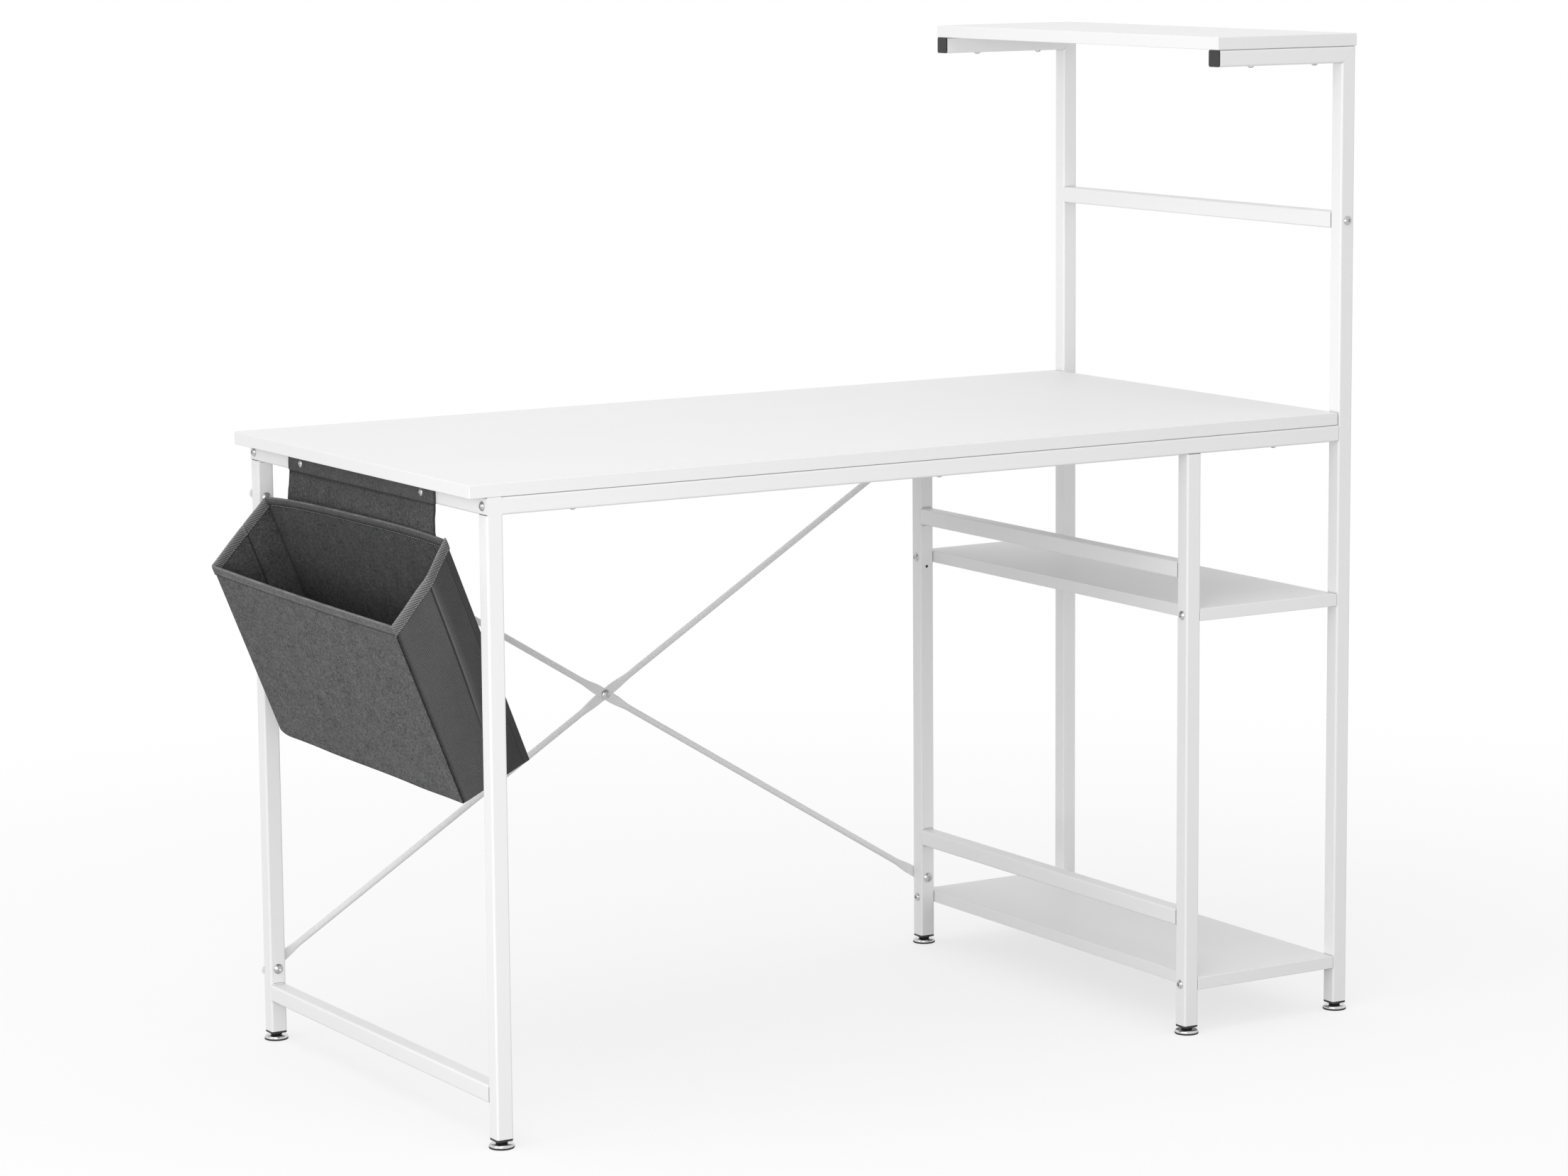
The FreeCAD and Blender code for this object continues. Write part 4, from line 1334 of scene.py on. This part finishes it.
def brace_section(sizes, along, span, crossing_front):
    """Half width, half depth, offset from the posts' backs and squareness of a brace bar's section."""
    tip = 0.4 * MM
    from_end = min(along, span - along)
    from_centre = abs(along - span / 2)
    at_end = 1 - smooth_step(from_end, sizes.end_flat, sizes.end_flat + sizes.taper)
    at_centre = 1 - smooth_step(from_centre, sizes.centre_flat, sizes.centre_flat + sizes.taper)
    flat = max(at_end, at_centre)
    front = crossing_front if at_centre > at_end else 0.0
    half_width = sizes.bar_radius + (sizes.flat_width / 2 - sizes.bar_radius) * flat
    half_depth = sizes.bar_radius + (sizes.flat_thickness / 2 - sizes.bar_radius) * flat
    offset = sizes.flat_thickness + (front - sizes.flat_thickness / 2) * flat
    round_end = from_end + sizes.end_margin
    if round_end < sizes.flat_width / 2:
        reach = sizes.flat_width / 2 - round_end
        half_width = max(tip, math.sqrt(max(0.0, (sizes.flat_width / 2) ** 2 - reach**2)))
    return half_width, half_depth, offset, 2 + 4 * flat


def brace_bar(sizes, start, end, crossing_front):
    """Round bar from bolt to bolt, pressed flat and rounded at its ends and pressed flat in the middle."""
    sides, step = 24, 4 * MM
    end_steps = (0.0, 0.2, 0.6, 1.2, 2.2, 3.6, 5.2, 7.0)
    axis = end - start
    span = axis.length
    axis.normalize()
    back = Vector((0, 1, 0))
    across = axis.cross(back)
    places = [offset * MM - sizes.end_margin for offset in end_steps]
    places += [span - place for place in places]
    count = round(span / step)
    places += [span * index / count for index in range(count + 1)]
    sections = []
    for along in sorted(places):
        half_width, half_depth, offset, square = brace_section(sizes, along, span, crossing_front)
        middle = start + axis * along + back * offset
        section = []
        for side, rise in round_turns(sides):
            wide = math.copysign(abs(side) ** (2 / square), side) * half_width
            deep = math.copysign(abs(rise) ** (2 / square), rise) * half_depth
            section.append(middle + across * wide + back * deep)
        sections.append(section)
    loft = Loft()
    loft.add(sections)
    return loft


class DESK_OT_boards(bpy.types.Operator):
    """Faces the desktop and the three shelves with white melamine"""

    bl_idname = "desk.boards"
    bl_label = "Face the boards"

    def execute(self, context):
        for board in BOARDS:
            dress([board], melamine(board, context.scene.desk_finish))
        return {"FINISHED"}


class DESK_OT_frame(bpy.types.Operator):
    """Powder-coats the square tubes"""

    bl_idname = "desk.frame"
    bl_label = "Coat the frame"

    def execute(self, context):
        dress(TUBES, powder_coat(context.scene.desk_finish))
        return {"FINISHED"}


class DESK_OT_brace(bpy.types.Operator):
    """Forges the two crossed bars behind the desk and paints them"""

    bl_idname = "desk.brace"
    bl_label = "Forge the brace"

    def execute(self, context):
        sizes = context.scene.desk_brace
        paint = brace_paint(context.scene.desk_finish)
        leg_low, leg_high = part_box("left_rear_leg")
        post_low, post_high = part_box("inner_rear_post")
        bolts_low, bolts_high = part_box("brace_bolts")
        left, right = (leg_low.x + leg_high.x) / 2, (post_low.x + post_high.x) / 2
        head_radius = left - bolts_low.x
        low, high = bolts_low.z + head_radius, bolts_high.z - head_radius
        back = leg_high.y
        bars = (("falling_brace", high, low, 0.0), ("rising_brace", low, high, sizes.flat_thickness))
        for name, left_height, right_height, crossing_front in bars:
            start, end = Vector((left, back, left_height)), Vector((right, back, right_height))
            loft = brace_bar(sizes, start, end, crossing_front)
            rod = new_piece(name + "_rod", loft.points, loft.faces, [paint])
            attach(rod, "desk_frame")
            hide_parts(name + "_bar")
        return {"FINISHED"}


class DESK_OT_welds(bpy.types.Operator):
    """Lays the weld beads in the frame's inner corners and along the tower's mitres"""

    bl_idname = "desk.welds"
    bl_label = "Lay the welds"

    def execute(self, context):
        finish = context.scene.desk_finish
        coat = bpy.data.materials["white_powder_coat_paint"]
        fillets = self.fillets(finish)
        welds = new_piece("frame_weld_beads", fillets.points, fillets.faces, [coat])
        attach(welds, "desk_frame")
        lines = self.mitre_lines(finish)
        mitres = new_piece("tower_mitre_welds", lines.points, lines.faces, [coat])
        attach(mitres, "desk_frame")
        return {"FINISHED"}

    def fillets(self, finish):
        """Beads above and below each cross rail's ends, and below the left top rail's ends."""
        joints = []
        for rail in ("left_lower_rail", "upper_guard_rail", "lower_guard_rail"):
            low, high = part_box(rail)
            for y, toward in ((low.y, 1), (high.y, -1)):
                joints.append((low.x, high.x, y, toward, high.z, 1))
                joints.append((low.x, high.x, y, toward, low.z, -1))
        for leg, toward in (("left_front_leg", 1), ("left_rear_leg", -1)):
            low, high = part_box(leg)
            joints.append((low.x, high.x, high.y if toward > 0 else low.y, toward, high.z, -1))
        loft = Loft()
        inset = 3 * MM
        for left, right, y, toward, z, side in joints:
            corner = Vector((left + inset, y, z))
            along = Vector((right - left - 2 * inset, 0, 0))
            first, second = Vector((0, toward, 0)), Vector((0, 0, side))
            bevel_weld(loft, corner, along, first, second, finish.weld_size, finish.weld_ripple)
        return loft

    def mitre_lines(self, finish):
        """Ground weld lines on both faces of the mitres between the tall posts and the shelf's arms."""
        loft = Loft()
        inset = 2.4 * MM
        for arm, post in (("front_shelf_arm", "tall_front_post"), ("rear_shelf_arm", "tall_rear_post")):
            low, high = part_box(arm)
            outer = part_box(post)[1].x
            for y, facing in ((low.y, -1), (high.y, 1)):
                start = Vector((outer - (high.z - low.z), y, low.z))
                end = Vector((outer - inset, y, high.z - inset))
                ground_weld(loft, start, end, Vector((0, facing, 0)), finish.mitre_bead)
        return loft


class DESK_OT_fasteners(bpy.types.Operator):
    """Zinc-plates the bolts, nuts, screws and the studs of the feet"""

    bl_idname = "desk.fasteners"
    bl_label = "Plate the fasteners"

    def execute(self, context):
        zinc = plated("zinc_plate", context.scene.desk_finish.zinc, roughness=0.3, scale=900.0)
        dress(FASTENERS, zinc)
        dress([foot + "_foot_stud" for foot in FEET], zinc)
        return {"FINISHED"}


class DESK_OT_feet(bpy.types.Operator):
    """Finishes the discs, soles and inserts of the levelling feet, and the caps of the arms"""

    bl_idname = "desk.feet"
    bl_label = "Finish the feet and caps"

    def execute(self, context):
        finish = context.scene.desk_finish
        plate = plated("polished_zinc_disc", finish.polished_zinc, roughness=0.14, scale=500.0)
        rubber = moulded("black_rubber_sole", finish.rubber_black, roughness=0.7, scale=1500.0)
        plastic = moulded("black_plastic_cap", finish.plastic_black, roughness=0.42, scale=1800.0)
        dress([foot + "_foot_disc" for foot in FEET], plate)
        dress([foot + "_foot_sole" for foot in FEET], rubber)
        dress(("foot_inserts", "arm_end_caps"), plastic)
        return {"FINISHED"}


class DESK_OT_pocket_bag(bpy.types.Operator):
    """Makes the felt bag of the pocket with its hems, seams and creased gussets"""

    bl_idname = "desk.pocket_bag"
    bl_label = "Sew the pocket"

    def execute(self, context):
        finish, sizes = context.scene.desk_finish, context.scene.desk_pocket
        points, marks, faces, materials = pocket_bag_mesh(PocketForm(sizes), sizes.panel_thickness)
        ribs, picks = Vector((1500.0, 0.0, 2600.0)), Vector((2600.0, 0.0, -1500.0))
        weave = {"dots": 0.5, "contrast": 0.45, "depth": 0.5 * MM}
        cloths = [
            felt("shaded_felt_cloth", finish.shaded_felt),
            woven("grey_gusset_cloth", finish.gusset_grey, ribs, picks, **weave),
            felt("grey_felt_cloth", finish.felt_grey),
        ]
        bag = new_piece("pocket_felt_bag", points, faces, cloths, materials, marks)
        soften(bag)
        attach(bag, "pocket")
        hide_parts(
            "pocket_back",
            "pocket_front",
            "pocket_base",
            "pocket_front_gusset",
            "pocket_rear_gusset",
            "pocket_front_board",
        )
        return {"FINISHED"}


class DESK_OT_pocket_bindings(bpy.types.Operator):
    """Binds the two slanted rims of the pocket with folded twill tape"""

    bl_idname = "desk.pocket_bindings"
    bl_label = "Bind the rims"

    def execute(self, context):
        form = PocketForm(context.scene.desk_pocket)
        ribs, picks = Vector((-700.0, 0.0, 2500.0)), Vector((2300.0, 0.0, 1900.0))
        weave = {"dots": 0.25, "contrast": 0.8, "depth": 0.7 * MM}
        tape = woven("grey_twill_tape", context.scene.desk_finish.tape_grey, ribs, picks, **weave)
        for name, rear in (("pocket_front_binding", False), ("pocket_rear_binding", True)):
            loft, marks = binding_mesh(form, rear)
            binding = new_piece(name, loft.points, loft.faces, [tape], marks=marks)
            soften(binding)
            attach(binding, "pocket")
            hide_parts("pocket_rim_binding")
        return {"FINISHED"}


class DESK_OT_pocket_stitches(bpy.types.Operator):
    """Sews the stitch rows along the hems, the flap and the bindings of the pocket"""

    bl_idname = "desk.pocket_stitches"
    bl_label = "Stitch the pocket"

    def execute(self, context):
        sizes = context.scene.desk_pocket
        form = PocketForm(sizes)
        threads = Loft()
        self.sew_hems(threads, form)
        self.sew_flap(threads, form)
        self.sew_bindings(threads, form)
        ribs, picks = Vector((3000.0, 3000.0, 3000.0)), Vector((-3000.0, 3000.0, 3000.0))
        twist = {"dots": 0.4, "contrast": 0.4, "depth": 0.2 * MM}
        thread = woven("grey_thread", context.scene.desk_finish.thread_grey, ribs, picks, **twist)
        stitches = new_piece("pocket_stitches", threads.points, threads.faces, [thread])
        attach(stitches, "pocket")

        return {"FINISHED"}

    def outward(self, form):
        """Direction that the tilted pocket's front panel faces."""
        return Vector((-math.cos(form.sizes.tilt), 0, -math.sin(form.sizes.tilt)))

    def sew_hems(self, threads, form):
        """Rows along the front panel's hem and the inner side of the back panel's hem."""
        margin = 8 * MM
        up = 1 - (form.sizes.hem_width - form.STITCH_INSET) / form.height
        normal = self.outward(form)
        for panel, inside in ((form.front, 0.0), (form.back, form.sizes.panel_thickness)):

            def locate(distance):
                return panel((margin + distance) / form.width, up, inside), normal

            stitch_row(threads, form.sizes, locate, form.width - 2 * margin)

    def sew_flap(self, threads, form):
        """Row along the flap's lower edge behind the back panel."""
        margin, edge_inset, gap = 3 * MM, 3.5 * MM, 0.3 * MM
        up = 1 - (form.sizes.flap_overlap - edge_inset) / form.back_height
        normal = -self.outward(form)
        lift = normal * (FLAP_HIGH.x - FLAP_LOW.x + gap)

        def locate(distance):
            share = (FLAP_LOW.y - form.front_y + margin + distance) / form.width
            return form.back(share, up) + lift, normal

        stitch_row(threads, form.sizes, locate, FLAP_HIGH.y - FLAP_LOW.y - 2 * margin)

    def sew_bindings(self, threads, form):
        """Rows along the lower edge of each rim's tape, on its outer face and its inner face."""
        sizes = form.sizes
        edge_inset = 1.8 * MM
        depth = sizes.binding_width - edge_inset
        reach = sizes.gusset_thickness / 2 + sizes.binding_thickness
        slant = (FRONT_END["front_rim"] - FRONT_END["back_rim"]).length
        for rear in (False, True):
            for face in (1, -1):
                normal = Vector((0, face * (1 if rear else -1), 0))

                def locate(distance):
                    across = min(1.0, distance / slant)
                    return binding_point(form, rear, across, depth, face * reach), normal

                stitch_row(threads, sizes, locate, slant)


class DESK_OT_pocket_flap(bpy.types.Operator):
    """Hangs the pocket's flap on the left end rail and sews it behind the back panel"""

    bl_idname = "desk.pocket_flap"
    bl_label = "Hang the flap"

    def execute(self, context):
        sizes = context.scene.desk_pocket
        form = PocketForm(sizes)
        points, faces, marks = self.cloth(form)
        felt_cloth = bpy.data.materials["shaded_felt_cloth"]
        flap = new_piece("pocket_hanging_flap", points, faces, [felt_cloth], marks=marks)
        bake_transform(flap)
        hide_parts("pocket_flap")
        return {"FINISHED"}

    def cloth(self, form):
        """Points, faces and marks of the flap, wavy below the rail and along its cut sides, with a painted
        shadow line where it leaves the rail and a paler band, painted light, where it lies on the rail.
        """
        columns, frayed_columns = 75, 3
        wave_height, fray = 1.2 * MM, 1.1 * MM
        loose_start, loose_end = (2 * MM, 14 * MM), (26 * MM, 36 * MM)
        shade_line_drop, shade_line_half = 0.6 * MM, 1.5 * MM
        thickness = FLAP_HIGH.x - FLAP_LOW.x
        start = (FLAP_LOW.y - form.front_y) / form.width
        end = (FLAP_HIGH.y - form.front_y) / form.width
        outer = []
        inner = []
        marks = []
        for column in range(columns + 1):
            share = start + (end - start) * column / columns
            line = flap_line(form, share)
            side = 1 - smooth_step(min(column, columns - column), 0, frayed_columns)
            ahead = line[1:] + [2 * line[-1] - line[-2]]
            outer.append([])
            inner.append([])
            for point, after in zip(line, ahead):
                normal = Vector((after.z - point.z, 0, point.x - after.x)).normalized()
                below = RAIL_LOW.z - point.z
                loose = smooth_step(below, *loose_start) * (1 - smooth_step(below, *loose_end))
                point = point + normal * wave_height * loose * uneven(share * 5.0, point.z * 20.0, 2.9)
                point.y += side * fray * uneven(point.z * 90.0, share * 3.0, 6.3)
                hem = form.sizes.flap_hem if point.z > RAIL_LOW.z else 0.0
                # Dark line just under the rail's lower edge: painted shadow of the step.
                fold = ridge_line(point.z, RAIL_LOW.z - shade_line_drop, shade_line_half)
                cut = 1.0 if column in (0, columns) else 0.0
                # The band that stands upright on the rail is marked paler: painted light.
                marks.append((0.6 * max(fold, cut), 0.1 if hem else 0.0))
                outer[-1].append(point + normal * (thickness / 2 + hem))
                inner[-1].append(point - normal * thickness / 2)
        points, faces = cloth_shell(outer, inner)
        return points, faces, marks + marks


class DESK_OT_stage(bpy.types.Operator):
    """Sets the floor, the lamps and the camera"""

    bl_idname = "desk.stage"
    bl_label = "Set the stage"

    def execute(self, context):
        stage = context.scene.desk_stage
        self.floor(stage)
        self.room(context, stage)
        middle, left_end = Vector((0.0, 0.0, 0.7)), Vector((-0.3, 0.0, 0.5))
        self.lamp("key_lamp", Vector((-8.0, -1.4, 2.2)), middle, size=4.0, power=stage.key_power)
        self.lamp("top_lamp", Vector((-1.2, -0.6, 3.6)), middle, size=3.0, power=stage.top_power)
        self.lamp("front_lamp", Vector((-2.3, -2.7, 0.9)), left_end, size=1.6, power=stage.front_power)
        camera = bpy.data.objects.new("camera", bpy.data.cameras.new("camera"))
        camera.data.lens = stage.camera_lens
        camera.location = stage.camera_place
        camera.rotation_euler = Euler(stage.camera_angles)
        context.scene.collection.objects.link(camera)
        context.scene.camera = camera
        context.scene.view_settings.view_transform = "Standard"
        return {"FINISHED"}

    def seen(self, tree):
        """Number that is 1 where a ray comes from the eye, a reflection or clear glass, and 0 elsewhere."""
        path = add_node(tree, "ShaderNodeLightPath").outputs
        direct = calculate(tree, "MAXIMUM", path["Is Camera Ray"], path["Is Glossy Ray"])
        return calculate(tree, "MAXIMUM", direct, path["Is Transmission Ray"])

    def mixed(self, tree, factor, first, second):
        """Shader that changes from the first to the second as a factor goes from 0 to 1."""
        return add_node(tree, "ShaderNodeMixShader", {0: factor, 1: first, 2: second}).outputs[0]

    def floor(self, stage):
        """Pale round floor that takes the desk's shadow and turns to plain white further out."""
        segments, fade_start, fade_end = 96, 0.9, 2.4
        shape = bmesh.new()
        bmesh.ops.create_circle(shape, cap_ends=True, segments=segments, radius=stage.floor_radius)
        mesh = bpy.data.meshes.new("floor")
        shape.to_mesh(mesh)
        shape.free()
        floor = bpy.data.objects.new("floor", mesh)
        bpy.context.scene.collection.objects.link(floor)

        material, tree = bare_material("pale_floor")
        place = surface_place(tree)
        reach = add_node(tree, "ShaderNodeVectorMath", {0: place}, operation="LENGTH").outputs["Value"]
        inputs = {"Value": reach, "From Min": fade_start, "From Max": fade_end}
        inputs["To Min"] = 1 - stage.shadow_share
        fade = add_node(tree, "ShaderNodeMapRange", inputs, interpolation_type="SMOOTHSTEP").outputs["Result"]
        matte = add_node(tree, "ShaderNodeBsdfDiffuse", {"Color": stage.floor_white}).outputs[0]
        bounce = add_node(tree, "ShaderNodeBsdfDiffuse", {"Color": stage.floor_bounce}).outputs[0]
        white = add_node(tree, "ShaderNodeEmission", {"Color": WHITE, "Strength": 1.0}).outputs[0]
        clear = add_node(tree, "ShaderNodeBsdfTransparent").outputs[0]
        under = add_node(tree, "ShaderNodeNewGeometry").outputs["Backfacing"]
        surface = self.mixed(tree, self.seen(tree), bounce, self.mixed(tree, fade, matte, white))
        add_node(tree, "ShaderNodeOutputMaterial", {"Surface": self.mixed(tree, under, surface, clear)})
        mesh.materials.append(material)

    def room(self, context, stage):
        """White room: plain white to the eye and in reflections, a softer light on the desk."""
        world = bpy.data.worlds.new("room")
        world.use_nodes = True
        tree = world.node_tree
        tree.nodes.clear()
        soft, white = [
            add_node(tree, "ShaderNodeBackground", {"Color": WHITE, "Strength": strength}).outputs[0]
            for strength in (stage.sky_strength, 1.0)
        ]
        add_node(tree, "ShaderNodeOutputWorld", {"Surface": self.mixed(tree, self.seen(tree), soft, white)})
        context.scene.world = world

    def lamp(self, name, place, target, size, power):
        """Large square area lamp aimed at a point."""
        data = bpy.data.lights.new(name, "AREA")
        data.shape = "SQUARE"
        data.size = size
        data.energy = power
        lamp = bpy.data.objects.new(name, data)
        lamp.visible_camera = False
        lamp.location = place
        lamp.rotation_euler = (target - place).to_track_quat("-Z", "Y").to_euler()
        bpy.context.scene.collection.objects.link(lamp)


OPERATORS = (
    DESK_OT_boards,
    DESK_OT_frame,
    DESK_OT_brace,
    DESK_OT_welds,
    DESK_OT_fasteners,
    DESK_OT_feet,
    DESK_OT_pocket_bag,
    DESK_OT_pocket_bindings,
    DESK_OT_pocket_flap,
    DESK_OT_pocket_stitches,
    DESK_OT_stage,
)


class DESK_PT_sidebar(bpy.types.Panel):
    """Lists the steps that dress the desk"""

    bl_idname = "DESK_PT_sidebar"
    bl_label = "Desk"
    bl_space_type = "VIEW_3D"
    bl_region_type = "UI"
    bl_category = "Desk"

    def draw(self, context):
        for operator in OPERATORS:
            self.layout.operator(operator.bl_idname)


SETTINGS = {
    "desk_finish": DeskFinishSettings,
    "desk_brace": DeskBraceSettings,
    "desk_pocket": DeskPocketSettings,
    "desk_stage": DeskStageSettings,
}


def register():
    for kind in SETTINGS.values():
        bpy.utils.register_class(kind)
    for name, kind in SETTINGS.items():
        setattr(bpy.types.Scene, name, PointerProperty(type=kind))
    for kind in OPERATORS + (DESK_PT_sidebar,):
        bpy.utils.register_class(kind)


def unregister():
    for kind in reversed(OPERATORS + (DESK_PT_sidebar,)):
        bpy.utils.unregister_class(kind)
    for name in SETTINGS:
        delattr(bpy.types.Scene, name)
    for kind in SETTINGS.values():
        bpy.utils.unregister_class(kind)


def main():
    register()
    bpy.ops.desk.boards()
    bpy.ops.desk.frame()
    bpy.ops.desk.brace()
    bpy.ops.desk.welds()
    bpy.ops.desk.fasteners()
    bpy.ops.desk.feet()
    bpy.ops.desk.pocket_bag()
    bpy.ops.desk.pocket_bindings()
    bpy.ops.desk.pocket_flap()
    bpy.ops.desk.pocket_stitches()
    bpy.ops.desk.stage()


if __name__ == "__main__":
    main()
